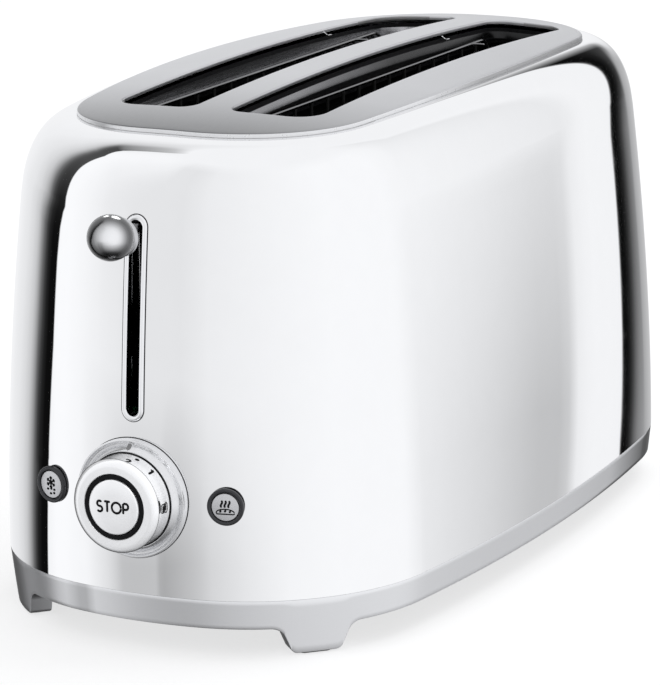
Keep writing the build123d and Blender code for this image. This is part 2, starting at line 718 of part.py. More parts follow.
def mica_board(side, x):
    """Heating board, its slot-facing side at the given distance from the middle."""
    away = x + MICA_THICKNESS if x > SLOT_CENTRE_X else x - MICA_THICKNESS
    return block((side * x, side * away), (CHAMBER_FRONT, CHAMBER_REAR), (MICA_LOW, MICA_HIGH))


def heater_ribbon(side, x):
    """Flat ribbon that runs to and fro over the slot-facing side of a heating board."""
    towards = -RIBBON_THICKNESS if x > SLOT_CENTRE_X else RIBBON_THICKNESS
    spread = (side * x, side * (x + towards))
    front, rear = CHAMBER_FRONT + RIBBON_MARGIN, CHAMBER_REAR - RIBBON_MARGIN
    pitch = (MICA_HIGH - MICA_LOW - 2 * RIBBON_MARGIN) / (RIBBON_RUNS - 1)
    ribbon = []
    for run in range(RIBBON_RUNS):
        z = MICA_LOW + RIBBON_MARGIN + run * pitch
        ribbon.append(block(spread, (front, rear), (z - RIBBON_WIDTH / 2, z + RIBBON_WIDTH / 2)))
        if run < RIBBON_RUNS - 1:
            end = rear if run % 2 == 0 else front
            inwards = -RIBBON_WIDTH if run % 2 == 0 else RIBBON_WIDTH
            ribbon.append(block(spread, (end, end + inwards), (z, z + pitch)))
    return ribbon[0] + ribbon[1:]


def slot_liner(side):
    """Sheet frame under one bread slot, its top edge following the plate."""
    low, high = LINER_LOW, PLATE_TOP
    outer = slot_face(side, LINER_CLEARANCE + LINER_SHEET)
    inner = slot_face(side, LINER_CLEARANCE)
    frame = Pos(0, 0, low) * extrude(outer - inner, amount=high - low)
    frame &= crown_block(PLATE_THICKNESS + LINER_GAP, low - CUT_MARGIN)
    tab_x = (side * (SLOT_CENTRE_X - RACK_WIDTH / 2), side * (SLOT_CENTRE_X + RACK_WIDTH / 2))
    reach = LINER_CLEARANCE + LINER_SHEET / 2 + SLOT_END_BOW
    front_tab = (CHAMBER_FRONT, SLOT_FRONT_Y - LINER_CLEARANCE)
    rear_tab = (CHAMBER_REAR, SLOT_REAR_Y + LINER_CLEARANCE - reach)
    for tab in (front_tab, rear_tab):
        tongue = block(tab_x, tab, (low, low + LINER_SHEET))
        frame += tongue - Pos(0, 0, low) * extrude(inner, amount=high - low)
    return frame


def guide_grid(side, x):
    """Bread guide: a grid of thin bars that turns on pins at its lower edge."""
    front = SLOT_FRONT_Y + GUIDE_END_GAP
    rear = SLOT_REAR_Y - GUIDE_END_GAP
    half = GUIDE_BAR / 2
    low = GUIDE_PIVOT_Z - GUIDE_BAR
    across = (side * x - half, side * x + half)
    grid = block(across, (front, rear), (low, GUIDE_TOP))
    column = (rear - front - GUIDE_BAR) / GUIDE_COLUMNS
    lowest = low + 2 * GUIDE_BAR
    row = (GUIDE_TOP - lowest) / GUIDE_ROWS
    through = (across[0] - CUT_MARGIN, across[1] + CUT_MARGIN)
    for number in range(GUIDE_COLUMNS):
        y = front + GUIDE_BAR + number * column
        y_range = (y, y + column - GUIDE_BAR)
        heights = [lowest + level * row for level in range(GUIDE_ROWS)]
        grid -= [block(through, y_range, (z, z + row - GUIDE_BAR)) for z in heights]
    pin_reach = CHASSIS_SHEET + GUIDE_PIN_REACH
    grid += round_bar(GUIDE_PIN_RADIUS, side * x, GUIDE_PIVOT_Z, (CHAMBER_FRONT - pin_reach, front))
    grid += round_bar(GUIDE_PIN_RADIUS, side * x, GUIDE_PIVOT_Z, (rear, CHAMBER_REAR + pin_reach))
    return grid


def bread_rack(side):
    """Carrier under one slice row: a holed strip on a web whose ends run in the chassis slots."""
    x = side * SLOT_CENTRE_X
    front = SLOT_FRONT_Y + RACK_END_GAP
    rear = SLOT_REAR_Y - RACK_END_GAP
    half = RACK_WIDTH / 2
    strip = block((x - half, x + half), (front, rear), (RACK_Z - RACK_SHEET, RACK_Z))
    pitch = (rear - front) / RACK_HOLES
    side_x = (half + RACK_SHEET / 2) / 2
    hole_width = half - 2 * RACK_SHEET
    hole = extrude(SlotOverall(RACK_HOLE_LENGTH, hole_width, rotation=90), amount=RACK_WEB, both=True)
    for number in range(RACK_HOLES):
        y = front + pitch * (number + 0.5)
        strip -= [Pos(x + sign * side_x, y, RACK_Z) * hole for sign in (-1, 1)]
    web = (x - RACK_SHEET / 2, x + RACK_SHEET / 2)
    web_z = (RACK_Z - RACK_WEB, RACK_Z - RACK_SHEET)
    strip += block(web, (CROSSHEAD_REAR_Y, CHAMBER_REAR + CHASSIS_SHEET + TONGUE_END_ROOM), web_z)
    return strip


def carriage():
    """Crosshead that joins both racks, slides on the rods and carries the lever arm."""
    sheet_y = (CROSSHEAD_FRONT_Y, CROSSHEAD_REAR_Y)
    half = CROSSHEAD_HALF_WIDTH
    plate = block((-half, half), sheet_y, (CROSSHEAD_LOW, CROSSHEAD_HIGH))
    plate += block((-RISER_HALF_WIDTH, RISER_HALF_WIDTH), sheet_y, (CROSSHEAD_LOW, RISER_TOP))
    bush_y = (GUIDE_ROD_Y - BUSH_REACH, CROSSHEAD_FRONT_Y)
    for side in (-1, 1):
        x = side * GUIDE_ROD_X
        plate += block((x - BUSH_WIDTH / 2, x + BUSH_WIDTH / 2), bush_y, (CROSSHEAD_LOW, CROSSHEAD_HIGH))
        bore = pillar(GUIDE_ROD_RADIUS + ROD_CLEARANCE, x, GUIDE_ROD_Y, (0, PLATE_TOP))
        plate -= bore
    pin_y = (GUIDE_ROD_Y - SPRING_RADIUS, CROSSHEAD_FRONT_Y)
    return plate + round_bar(SPRING_PIN_RADIUS, SPRING_X, SPRING_PIN_Z, pin_y)


def guide_rods():
    span = (FLANGE_TOP, GUIDE_ROD_TOP)
    return group([pillar(GUIDE_ROD_RADIUS, side * GUIDE_ROD_X, GUIDE_ROD_Y, span) for side in (-1, 1)])


def rod_bracket():
    """Folded bracket on the front chassis plate that holds the tops of the rods and the spring."""
    outer = CHAMBER_FRONT - CHASSIS_SHEET
    half = GUIDE_ROD_X + BUSH_WIDTH / 2
    front = GUIDE_ROD_Y - BUSH_REACH
    shelf = block((-half, half), (front, outer), (BRACKET_Z, BRACKET_Z + BRACKET_SHEET))
    shelf += block((-half, half), (outer - BRACKET_SHEET, outer), (BRACKET_Z - BUSH_WIDTH / 2, BRACKET_Z))
    holes = [pillar(GUIDE_ROD_RADIUS, side * GUIDE_ROD_X, GUIDE_ROD_Y, (0, PLATE_TOP)) for side in (-1, 1)]
    return shelf - holes


def return_spring():
    """Extension spring as a plain sleeve, from the carriage's pin to the bracket."""
    span = (SPRING_PIN_Z + SPRING_PIN_RADIUS, BRACKET_Z)
    sleeve = pillar(SPRING_RADIUS, SPRING_X, GUIDE_ROD_Y, span)
    return sleeve - pillar(SPRING_RADIUS - SPRING_WALL, SPRING_X, GUIDE_ROD_Y, span)


def keeper_plate():
    """Iron plate under the carriage that the electromagnet holds."""
    rear = CROSSHEAD_REAR_Y
    span = (CROSSHEAD_LOW - KEEPER_HEIGHT, CROSSHEAD_LOW)
    return block((-KEEPER_HALF_WIDTH, KEEPER_HALF_WIDTH), (rear - MAGNET_DEPTH, rear), span)


def magnet_core():
    """U-shaped iron core on the chassis flange."""
    half = MAGNET_HALF_WIDTH
    y_range = (CROSSHEAD_REAR_Y - MAGNET_DEPTH, CROSSHEAD_REAR_Y)
    core = block((-half, half), y_range, (FLANGE_TOP, FLANGE_TOP + MAGNET_LEG))
    for side in (-1, 1):
        core += block((side * half, side * (half - MAGNET_LEG)), y_range, (FLANGE_TOP, MAGNET_TOP))
    return core


def magnet_coil():
    """Coil bobbin between the legs of the core."""
    half = MAGNET_HALF_WIDTH - MAGNET_LEG
    front = CROSSHEAD_REAR_Y - MAGNET_DEPTH - COIL_OVERHANG
    rear = CROSSHEAD_REAR_Y + COIL_OVERHANG
    return block((-half, half), (front, rear), (FLANGE_TOP + MAGNET_LEG, MAGNET_TOP - COIL_DROP))


BALL_Y = front_y(0, LEVER_Z) - BALL_STAND_OFF


def lever_ball():
    """Ball grip, flat where it sits on its collar."""
    ball = Pos(0, BALL_Y, LEVER_Z) * Sphere(BALL_RADIUS)
    span = 2 * BALL_RADIUS
    cut = block((-span, span), (BALL_Y + BALL_FLAT, BALL_Y + span), (LEVER_Z - span, LEVER_Z + span))
    return ball - cut


def lever_collar():
    """Round flange between the ball and the arm."""
    back = BALL_Y + BALL_FLAT
    collar = round_bar(COLLAR_RADIUS, 0, LEVER_Z - COLLAR_DROP, (back, back + COLLAR_THICKNESS))
    return fillet(collar.edges(), COLLAR_ROUND)


def lever_arm():
    """Flat arm from the carriage through the slot to the collar."""
    z_range = (LEVER_Z - ARM_HEIGHT / 2, LEVER_Z + ARM_HEIGHT / 2)
    y_range = (BALL_Y + BALL_FLAT + COLLAR_THICKNESS, CROSSHEAD_FRONT_Y)
    return block((-ARM_WIDTH / 2, ARM_WIDTH / 2), y_range, z_range)


def lever_trim():
    """Bright ring round the lever slot, with a sleeve through the shell."""
    deep = (FRONT_LIMIT, CROSSHEAD_REAR_Y)
    slot = (LEVER_SLOT_LOW, LEVER_SLOT_HIGH)

    def wider(distance):
        return stadium(LEVER_SLOT_WIDTH + 2 * distance, slot[0] - distance, slot[1] + distance, deep)

    flange = wider(TRIM_FLANGE) & (body_loft(TRIM_PROUD, PLINTH_TOP) - BODY)
    sleeve = wider(TRIM_SLEEVE) & (BODY - body_loft(-TRIM_DEPTH, PLINTH_TOP - CUT_MARGIN))
    return flange + sleeve - wider(0.0)


def dial_bezel():
    """Fixed dish round the dial, cut to the shell, with a bearing boss through it."""
    lip = BEZEL_RADIUS - BEZEL_LIP
    well = DIAL_RADIUS + BEZEL_WELL_GAP
    floor = BEZEL_PROUD - BEZEL_DISH_DEPTH
    bore = DIAL_HUB_RADIUS + PIN_CLEARANCE
    dish = turned([
        (bore, -CUT_MARGIN), (bore, floor), (well, floor), (lip - BEZEL_DISH_SLOPE, BEZEL_PROUD - EDGE_BREAK),
        (lip, BEZEL_PROUD), (BEZEL_RADIUS - EDGE_BREAK, BEZEL_PROUD),
        (BEZEL_RADIUS, BEZEL_PROUD - EDGE_BREAK), (BEZEL_RADIUS, -CUT_MARGIN),
    ])
    dish = on_dial(dish) - BODY
    back = -BEZEL_BOSS_DEPTH
    boss = turned([(bore, back), (bore, 0), (BEZEL_BOSS_RADIUS, 0), (BEZEL_BOSS_RADIUS, back)])
    return dish + on_dial(boss)


def dial_skirt():
    """Turning cup of the dial with its hub."""
    back = DIAL_BACK
    inner = DIAL_RADIUS - DIAL_WALL
    front = DIAL_SKIRT_FRONT
    return on_dial(turned([
        (DIAL_HUB_BORE, -DIAL_HUB_DEPTH), (DIAL_HUB_BORE, back + DIAL_BACK_WALL),
        (inner, back + DIAL_BACK_WALL), (inner, front), (DIAL_RADIUS - DIAL_DRAFT, front),
        (DIAL_RADIUS, back), (DIAL_HUB_RADIUS, back), (DIAL_HUB_RADIUS, -DIAL_HUB_DEPTH),
    ]))


def dial_ring():
    """Bright rounded ring on the front of the dial."""
    ring = turned([
        (DIAL_RING_BORE, DIAL_SKIRT_FRONT), (DIAL_RING_BORE, DIAL_RING_FRONT),
        (DIAL_RING_RADIUS, DIAL_RING_FRONT), (DIAL_RING_RADIUS, DIAL_SKIRT_FRONT),
    ])
    rim = ring.edges().filter_by(GeomType.CIRCLE).sort_by(Axis.Y)[:2].sort_by(SortBy.RADIUS)[-1]
    return on_dial(fillet(rim, DIAL_RING_ROUND))


def dial_insert():
    """Black ring between the bright ring and the stop button."""
    outer = DIAL_RING_BORE - TRIM_CLEARANCE
    flange = DIAL_RADIUS - DIAL_WALL - TRIM_CLEARANCE
    front = DIAL_SKIRT_FRONT
    return on_dial(turned([
        (INSERT_BORE, front - INSERT_FLANGE), (INSERT_BORE, INSERT_FRONT), (outer, INSERT_FRONT),
        (outer, front), (flange, front), (flange, front - INSERT_FLANGE),
    ]))


def stop_button():
    """Button at the centre of the dial with its stem through the hub."""
    back = STOP_FRONT - STOP_THICKNESS
    cap = turned([
        (0, -STOP_STEM_END), (0, STOP_FRONT), (STOP_RADIUS - EDGE_BREAK, STOP_FRONT),
        (STOP_RADIUS, STOP_FRONT - EDGE_BREAK), (STOP_RADIUS, back), (STOP_STEM_RADIUS, back),
        (STOP_STEM_RADIUS, -STOP_STEM_END),
    ])
    return on_dial(cap)


def button_ring(side):
    """Dark ring round a button: a rounded flange on the shell and a sleeve through it."""
    bore = BUTTON_RING_RADIUS - BUTTON_RING_WALL
    flange = turned([
        (bore, -CUT_MARGIN), (bore, BUTTON_RING_PROUD - EDGE_BREAK), (bore + EDGE_BREAK, BUTTON_RING_PROUD),
        (BUTTON_RING_RADIUS - BUTTON_RING_ROUND, BUTTON_RING_PROUD),
        (BUTTON_RING_RADIUS, BUTTON_RING_PROUD - BUTTON_RING_ROUND), (BUTTON_RING_RADIUS, -CUT_MARGIN),
    ])
    sleeve = turned([
        (bore, -BUTTON_SLEEVE_DEPTH), (bore, 0), (BUTTON_SLEEVE_RADIUS, 0),
        (BUTTON_SLEEVE_RADIUS, -BUTTON_SLEEVE_DEPTH),
    ])
    return (on_button(flange, side) - BODY) + on_button(sleeve, side)


def push_button(side):
    """Push button cap with its stem."""
    radius = BUTTON_RING_RADIUS - BUTTON_RING_WALL - BUTTON_CAP_GAP
    return on_button(turned([
        (0, -BUTTON_STEM_END), (0, BUTTON_CAP_PROUD), (radius - EDGE_BREAK, BUTTON_CAP_PROUD),
        (radius, BUTTON_CAP_PROUD - EDGE_BREAK), (radius, -BUTTON_SLEEVE_DEPTH),
        (BUTTON_STEM_RADIUS, -BUTTON_SLEEVE_DEPTH), (BUTTON_STEM_RADIUS, -BUTTON_STEM_END),
    ]), side)


BOARD_FRONT_Y = FACE_Y + BOARD_FRONT_DEPTH
BOARD_REAR_Y = BOARD_FRONT_Y + BOARD_THICKNESS


def control_board():
    half = BOARD_HALF_WIDTH
    return block((-half, half), (BOARD_FRONT_Y, BOARD_REAR_Y), (BOARD_LOW, BOARD_HIGH))


def board_post_places():
    heights = (BOARD_LOW + POST_INSET, BOARD_HIGH - POST_INSET)
    return [(side * POST_X, z) for side in (-1, 1) for z in heights]


def board_posts():
    """Four posts that hold the control board off the front chassis plate."""
    reach = (BOARD_REAR_Y, CHAMBER_FRONT - CHASSIS_SHEET)
    return group([round_bar(POST_RADIUS, x, z, reach) for x, z in board_post_places()])


def dial_sensor():
    """Ring sensor on the board that reads the dial."""
    bore = DIAL_HUB_RADIUS + SENSOR_BORE_GAP
    back = -BOARD_FRONT_DEPTH
    front = back + SENSOR_DEPTH
    return on_dial(turned([(bore, back), (bore, front), (SENSOR_RADIUS, front), (SENSOR_RADIUS, back)]))


def switch_stack(reach):
    """Small push switch whose top lies one stroke and a free gap behind a stem's end."""
    top = reach + BUTTON_TRAVEL + BUTTON_FREE_GAP
    half = SWITCH_SIZE / 2
    return block((-half, half), (top, BOARD_FRONT_DEPTH + CUT_MARGIN), (-half, half))


def button_switches():
    """Push switches of the stop, defrost and reheat buttons, standing on the board."""
    behind = block((-CHASSIS_HALF_WIDTH, CHASSIS_HALF_WIDTH), (BOARD_FRONT_Y, 0), (0, PLATE_TOP))
    stacks = [on_dial(switch_stack(STOP_STEM_END))]
    stacks += [on_button(switch_stack(BUTTON_STEM_END), side) for side in (-1, 1)]
    return group([stack - behind for stack in stacks])


def crumb_tray():
    """Tray with a curved panel that closes the notch in the rear end, and a pull lip."""
    rear = BODY_HALF_LENGTH + TRAY_LIP_REACH
    half = TRAY_HALF_WIDTH
    front = CHAMBER_FRONT + TRAY_FRONT_GAP
    floor = block((-half, half), (front, rear), (TRAY_FLOOR, TRAY_FLOOR + TRAY_SHEET))
    for side in (-1, 1):
        wall = (side * half, side * (half - TRAY_SHEET))
        floor += block(wall, (front, rear), (TRAY_FLOOR, TRAY_FLOOR + TRAY_WALL))
    floor += block((-half, half), (front, front + TRAY_SHEET), (TRAY_FLOOR, TRAY_FLOOR + TRAY_WALL))
    floor = floor & BODY
    panel = (BODY - BODY_INSIDE) & tray_window(TRAY_PANEL_GAP)
    lip_x = (-TRAY_LIP_HALF_WIDTH, TRAY_LIP_HALF_WIDTH)
    lip = block(lip_x, (CHAMBER_REAR, rear), (TRAY_LIP_Z, TRAY_LIP_Z + TRAY_LIP_HEIGHT))
    lip = fillet(lip.edges().filter_by(Axis.X).sort_by(Axis.Y)[-2:], TRAY_LIP_ROUND)
    return floor + panel + (lip - BODY_INSIDE)


def tray_rails():
    """Two rails on the bottom plate that the tray slides on."""
    rails = []
    for side in (-1, 1):
        inner = side * (TRAY_HALF_WIDTH - RAIL_WIDTH)
        outer = side * (TRAY_HALF_WIDTH + RAIL_GAP)
        far = side * (TRAY_HALF_WIDTH + RAIL_GAP + TRAY_SHEET)
        length = (CHAMBER_FRONT, CHAMBER_REAR + REAR_FLANGE)
        rail = block((inner, far), length, (TRAY_FLOOR - RAIL_GAP - TRAY_SHEET, TRAY_FLOOR - RAIL_GAP))
        rail += block((outer, far), length, (CHASSIS_FOOT, TRAY_FLOOR + TRAY_WALL / 2))
        rails.append(rail)
    return group(rails)


def screw(x, y, z, upwards):
    """Pan-head screw whose head lies on a face at height z."""
    head = (z, z - upwards * SCREW_HEAD)
    shank = (z, z + upwards * SCREW_GRIP)
    return pillar(SCREW_HEAD_RADIUS, x, y, head) + pillar(SCREW_RADIUS, x, y, shank)


def chassis_screws():
    return group([screw(x, y, FOOT_TOP, 1) for x, y in chassis_screw_places()])


def plinth_screws():
    return group([screw(x, y, CHASSIS_FOOT, -1) for x, y in plinth_screw_places()])


def cord_gland():
    """Bush in the bottom plate that the mains lead would pass through."""
    middle = (FOOT_TOP + CHASSIS_FOOT) / 2
    span = (middle - GLAND_LENGTH / 2, middle + GLAND_LENGTH / 2)
    body = pillar(GLAND_RADIUS - TRIM_CLEARANCE, GLAND_X, GLAND_Y, span)
    body += pillar(GLAND_RADIUS + GLAND_FLANGE, GLAND_X, GLAND_Y, (CHASSIS_FOOT, CHASSIS_FOOT + GLAND_FLANGE))
    return body - pillar(GLAND_BORE, GLAND_X, GLAND_Y, (0, middle + GLAND_LENGTH))


def terminal_block():
    """Mains terminal block on the rear chassis plate, above the gland."""
    outer = CHASSIS_HALF_WIDTH
    face = CHAMBER_REAR + CHASSIS_SHEET
    span = (TERMINAL_Z, TERMINAL_Z + TERMINAL_HEIGHT)
    body = block((outer - TERMINAL_WIDTH, outer), (face, face + TERMINAL_DEPTH), span)
    well = (span[1] - TERMINAL_WELL_DEPTH, span[1] + CUT_MARGIN)
    places = [outer - TERMINAL_WIDTH * (way + 0.5) / TERMINAL_WAYS for way in range(TERMINAL_WAYS)]
    return body - [pillar(SCREW_RADIUS, x, face + TERMINAL_DEPTH / 2, well) for x in places]


def foot_pads():
    names = ("rear_left", "front_left", "rear_right", "front_right")
    places = sorted(foot_frames(), key=lambda frame: (frame[0], -frame[1]))
    return {f"foot_pad_{name}": pad_block(*place) for name, place in zip(names, places)}


def all_parts():
    """Every piece by its node name."""
    parts = {
        "outer_shell": outer_shell(),
        "top_plate": top_plate(),
        "plinth": plinth(),
        "bottom_plate": bottom_plate(),
        "chassis_front": chassis_front(),
        "chassis_rear": chassis_rear(),
        "centre_divider": centre_divider(),
        "carriage": carriage(),
        "guide_rods": guide_rods(),
        "rod_bracket": rod_bracket(),
        "return_spring": return_spring(),
        "keeper_plate": keeper_plate(),
        "magnet_core": magnet_core(),
        "magnet_coil": magnet_coil(),
        "lever_ball": lever_ball(),
        "lever_collar": lever_collar(),
        "lever_arm": lever_arm(),
        "lever_trim": lever_trim(),
        "dial_bezel": dial_bezel(),
        "dial_skirt": dial_skirt(),
        "dial_ring": dial_ring(),
        "dial_insert": dial_insert(),
        "stop_button": stop_button(),
        "dial_sensor": dial_sensor(),
        "control_board": control_board(),
        "board_posts": board_posts(),
        "button_switches": button_switches(),
        "crumb_tray": crumb_tray(),
        "tray_rails": tray_rails(),
        "chassis_screws": chassis_screws(),
        "plinth_screws": plinth_screws(),
        "cord_gland": cord_gland(),
        "terminal_block": terminal_block(),
    }
    parts.update(foot_pads())
    for side, hand in ((-1, "left"), (1, "right")):
        parts[f"side_reflector_{hand}"] = side_reflector(side)
        parts[f"slot_liner_{hand}"] = slot_liner(side)
        parts[f"bread_rack_{hand}"] = bread_rack(side)
        rows = (("inner", MICA_INNER_X, GUIDE_X[0]), ("outer", MICA_OUTER_X, GUIDE_X[1]))
        for place, board_x, guide_x in rows:
            parts[f"heating_board_{hand}_{place}"] = mica_board(side, board_x)
            parts[f"heating_ribbon_{hand}_{place}"] = heater_ribbon(side, board_x)
            parts[f"bread_guide_{hand}_{place}"] = guide_grid(side, guide_x)
    for side, name in ((-1, "defrost"), (1, "reheat")):
        parts[f"{name}_ring"] = button_ring(side)
        parts[f"{name}_button"] = push_button(side)
    return parts


# The origin lies under the middle of the whole length, ball grip and tray lip included.
FRONT_REACH = BALL_RADIUS - BALL_Y
REAR_REACH = BODY_HALF_LENGTH + TRAY_LIP_REACH
SHIFT_Y = (FRONT_REACH - REAR_REACH) / 2


def main():
    for name, piece in all_parts().items():
        export_step(Pos(0, SHIFT_Y, 0) * piece, f"parts/{name}.step")
    print("front reach", round(FRONT_REACH, 3), "rear reach", REAR_REACH, "shift", round(SHIFT_Y, 3))


main()
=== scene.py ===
"""Looks of a four-slice toaster with two long slots: one operator for each piece or group of like pieces."""

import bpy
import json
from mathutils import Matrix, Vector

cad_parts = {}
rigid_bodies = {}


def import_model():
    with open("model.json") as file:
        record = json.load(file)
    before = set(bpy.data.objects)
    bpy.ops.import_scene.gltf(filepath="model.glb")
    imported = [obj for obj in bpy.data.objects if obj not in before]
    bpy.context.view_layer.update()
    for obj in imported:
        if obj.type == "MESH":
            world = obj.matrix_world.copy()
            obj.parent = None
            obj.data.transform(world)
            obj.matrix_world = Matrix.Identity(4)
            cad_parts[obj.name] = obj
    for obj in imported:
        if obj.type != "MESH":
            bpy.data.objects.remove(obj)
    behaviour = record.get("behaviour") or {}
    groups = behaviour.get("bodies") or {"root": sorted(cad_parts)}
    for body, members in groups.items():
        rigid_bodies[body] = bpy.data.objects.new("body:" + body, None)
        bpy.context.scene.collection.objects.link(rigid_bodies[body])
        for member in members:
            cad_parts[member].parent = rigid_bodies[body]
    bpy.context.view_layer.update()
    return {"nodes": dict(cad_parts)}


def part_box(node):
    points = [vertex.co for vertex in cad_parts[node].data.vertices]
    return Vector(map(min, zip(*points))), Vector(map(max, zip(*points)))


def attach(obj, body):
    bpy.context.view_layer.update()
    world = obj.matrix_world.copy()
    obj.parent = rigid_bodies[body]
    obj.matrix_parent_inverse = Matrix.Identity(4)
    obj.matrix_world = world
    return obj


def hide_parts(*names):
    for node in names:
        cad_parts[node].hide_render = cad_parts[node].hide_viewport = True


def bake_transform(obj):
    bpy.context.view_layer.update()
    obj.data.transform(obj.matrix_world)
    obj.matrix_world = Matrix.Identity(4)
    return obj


bl_info = {
    "name": "Long-slot toaster",
    "version": (1, 0, 0),
    "blender": (4, 5, 0),
    "location": "3D View > Sidebar > Toaster",
    "description": "Makes the outer pieces, finishes and studio of a four-slice toaster",
    "category": "Object",
}

import json
import math

import bmesh
import bpy
import numpy as np
from bpy.props import FloatProperty, FloatVectorProperty, PointerProperty
from mathutils import Matrix

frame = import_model()

# Millimetres from here on, in the body's own frame: the control end faces -Y, and SHIFT_Y is the way
# from the body's middle to the frame's origin
SHIFT_Y = 500 * sum(corner[1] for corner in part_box("outer_shell"))
SIDE_RADIUS = 985.0
END_RADIUS = 160.0
CORNER_RADIUS = 82.0
SHOULDER_START = 0.815
SHOULDER_POWER = 2.43
LEAN_SHARE = 0.414
LEAN_POWER = 1.74
PLATE_SIDE_RADIUS = 805.0
PLATE_END_RADIUS = 905.0
PLATE_CORNER_RADIUS = 56.5
CROWN_ACROSS = 762.0
CROWN_ALONG = 2160.0
RIM_GAP = 0.1
RIM_FLANGE = 4.0
RIM_DEPTH = 2.0
EDGE_ROLL = 0.8
SLOT_INNER_X = 8.4
SLOT_OUTER_X = 47.0
SLOT_FRONT_Y = -121.9
SLOT_REAR_Y = 140.7
SLOT_END_BOW = 2.5
SLOT_CORNERS = (7.0, 13.0, 13.0, 7.0)
PLINTH_EDGE = 11.9
PLINTH_DRAFT = 2.7
PLINTH_WALL = 3.0
PLINTH_BEVEL = 0.45
PLINTH_FACETS = (0.15, 0.13)
FLANK_START_Y = -148.0
FOOT_BOTTOM = 0.8
FOOT_TOP = 14.0
FOOT_THICKNESS = 9.0
LEVER_Z = 174.0
BALL_FLAT = 6.4
BALL_STAND_OFF = 20.8
COLLAR_THICKNESS = 2.4
COLLAR_DROP = 1.2
COLLAR_ROUNDING = 0.8
LEVER_SLOT_HALF = 2.7
LEVER_SLOT_LOW = 98.0
LEVER_SLOT_HIGH = 177.0
DIAL_Z = 64.2
DIAL_HOLE = 9.9
LEVER_HOLE = 4.1
BUTTON_HOLE = 7.1
DIAL_JOINT = 8.8
DIAL_GROOVE = 11.7
DIAL_CREST = 12.75
DIAL_FRONT = 15.0
DIAL_FLARE = 0.16
SKIRT_BACK = 3.9
SKIRT_TAPER = 0.4
CONE_FOOT_RADIUS = 22.3
CONE_FOOT_OUT = 0.95
CONE_RUN = 1.95
CONE_RISE = 2.45
SETTING_STEP = 47
FIRST_SETTING = 42.5
FIRST_DASH = 19.0
STOP_FACE = 15.6
BUTTON_X = 40.4
BUTTON_Z = 64.0
BUTTON_WAY = 40.74
CAP_FACE = 0.9
TRAY_NOTCH_DISTANCE = 55.1
TRAY_NOTCH_HIGH = 38.0
COLLAR_TOP = 211.6
STRIP_TOP = 209.9
GUIDE_SPAN = (-111.1, 129.9, 43.2, 203.6)
GUIDE_LOOP, GUIDE_HOOK, GUIDE_BAR, GUIDE_PIVOT = 0.8, 0.75, 0.72, 1.5
PIVOT_Z = 44.0
SPRING_TURNS = 22
SPRING_RADIUS = 2.95
SPRING_WIRE = 0.42
SPRING_MIDDLE = (8.0, -146.5)
SPRING_SPAN = (141.6, 193.8)
SPOTS_PER_MILLIMETRE = 2000
SHARP_ANGLE = 32.0


def settings():
    return bpy.context.scene.toaster_sizes


def mm(name):
    """A size of the settings in millimetres."""
    return 1000 * getattr(settings(), name)


# Outlines and the body's surface


def body_size():
    """Half width, half length and the side, end and corner radii of the body's foot."""
    return np.array([mm("half_width"), mm("half_length"), SIDE_RADIUS, END_RADIUS, CORNER_RADIUS])


def plate_size(grow=0.0):
    """The same five values for the top plate, grown outwards by a distance."""
    radii = (PLATE_SIDE_RADIUS, PLATE_END_RADIUS, PLATE_CORNER_RADIUS)
    return np.array([mm("plate_half_width"), mm("plate_half_length"), *radii]) + grow


def plate_under():
    return mm("height") - mm("plate_sheet")


def crown_fall(x, y):
    """Fall of the crowned plate: the square of each distance from the middle over twice its radius."""
    return x**2 / (2 * CROWN_ACROSS) + y**2 / (2 * CROWN_ALONG)


def rim_height():
    return plate_under() - plate_size()[0] ** 2 / (2 * CROWN_ACROSS) - RIM_GAP


def rise(level):
    """Share of the way from the plinth's top to the shell's rim."""
    foot = mm("plinth_height")
    return (np.asarray(level, float) - foot) / (rim_height() - foot)


def values(size):
    """The five outline values of one size or of many, each as an array."""
    return np.moveaxis(np.asarray(size, float), -1, 0)


def corner_parts(size):
    """Centre of the corner arc, and the angles at which it meets the end arc and the side arc.

    The centre lies where two circles cross: side radius less corner radius about the side arc's
    centre, and end radius less corner radius about the end arc's centre."""
    half_width, half_length, side, end, corner = values(size)
    side_x, end_y = half_width - side, half_length - end
    apart = np.hypot(side_x, end_y)
    from_side, from_end = side - corner, end - corner
    along = (from_side**2 - from_end**2 + apart**2) / (2 * apart)
    across = np.sqrt(from_side**2 - along**2)
    unit_x, unit_y = -side_x / apart, end_y / apart
    centre_x = side_x + along * unit_x - across * unit_y
    centre_y = along * unit_y + across * unit_x
    return centre_x, centre_y, np.arctan2(centre_x, centre_y - end_y), np.arctan2(centre_y, centre_x - side_x)


def half_length_round(size):
    """Length of the outline from the front middle to the rear middle: twice its three arcs."""
    _, _, end_angle, side_angle = corner_parts(size)
    _, _, side, end, corner = values(size)
    return 2 * (end * end_angle + corner * (np.pi / 2 - side_angle - end_angle) + side * side_angle)


def corner_distance(size):
    """Distance along the outline from the front middle to the middle of the corner."""
    end_angle = corner_parts(size)[2]
    _, _, _, end, corner = values(size)
    return end * end_angle + corner * (np.pi / 4 - end_angle)


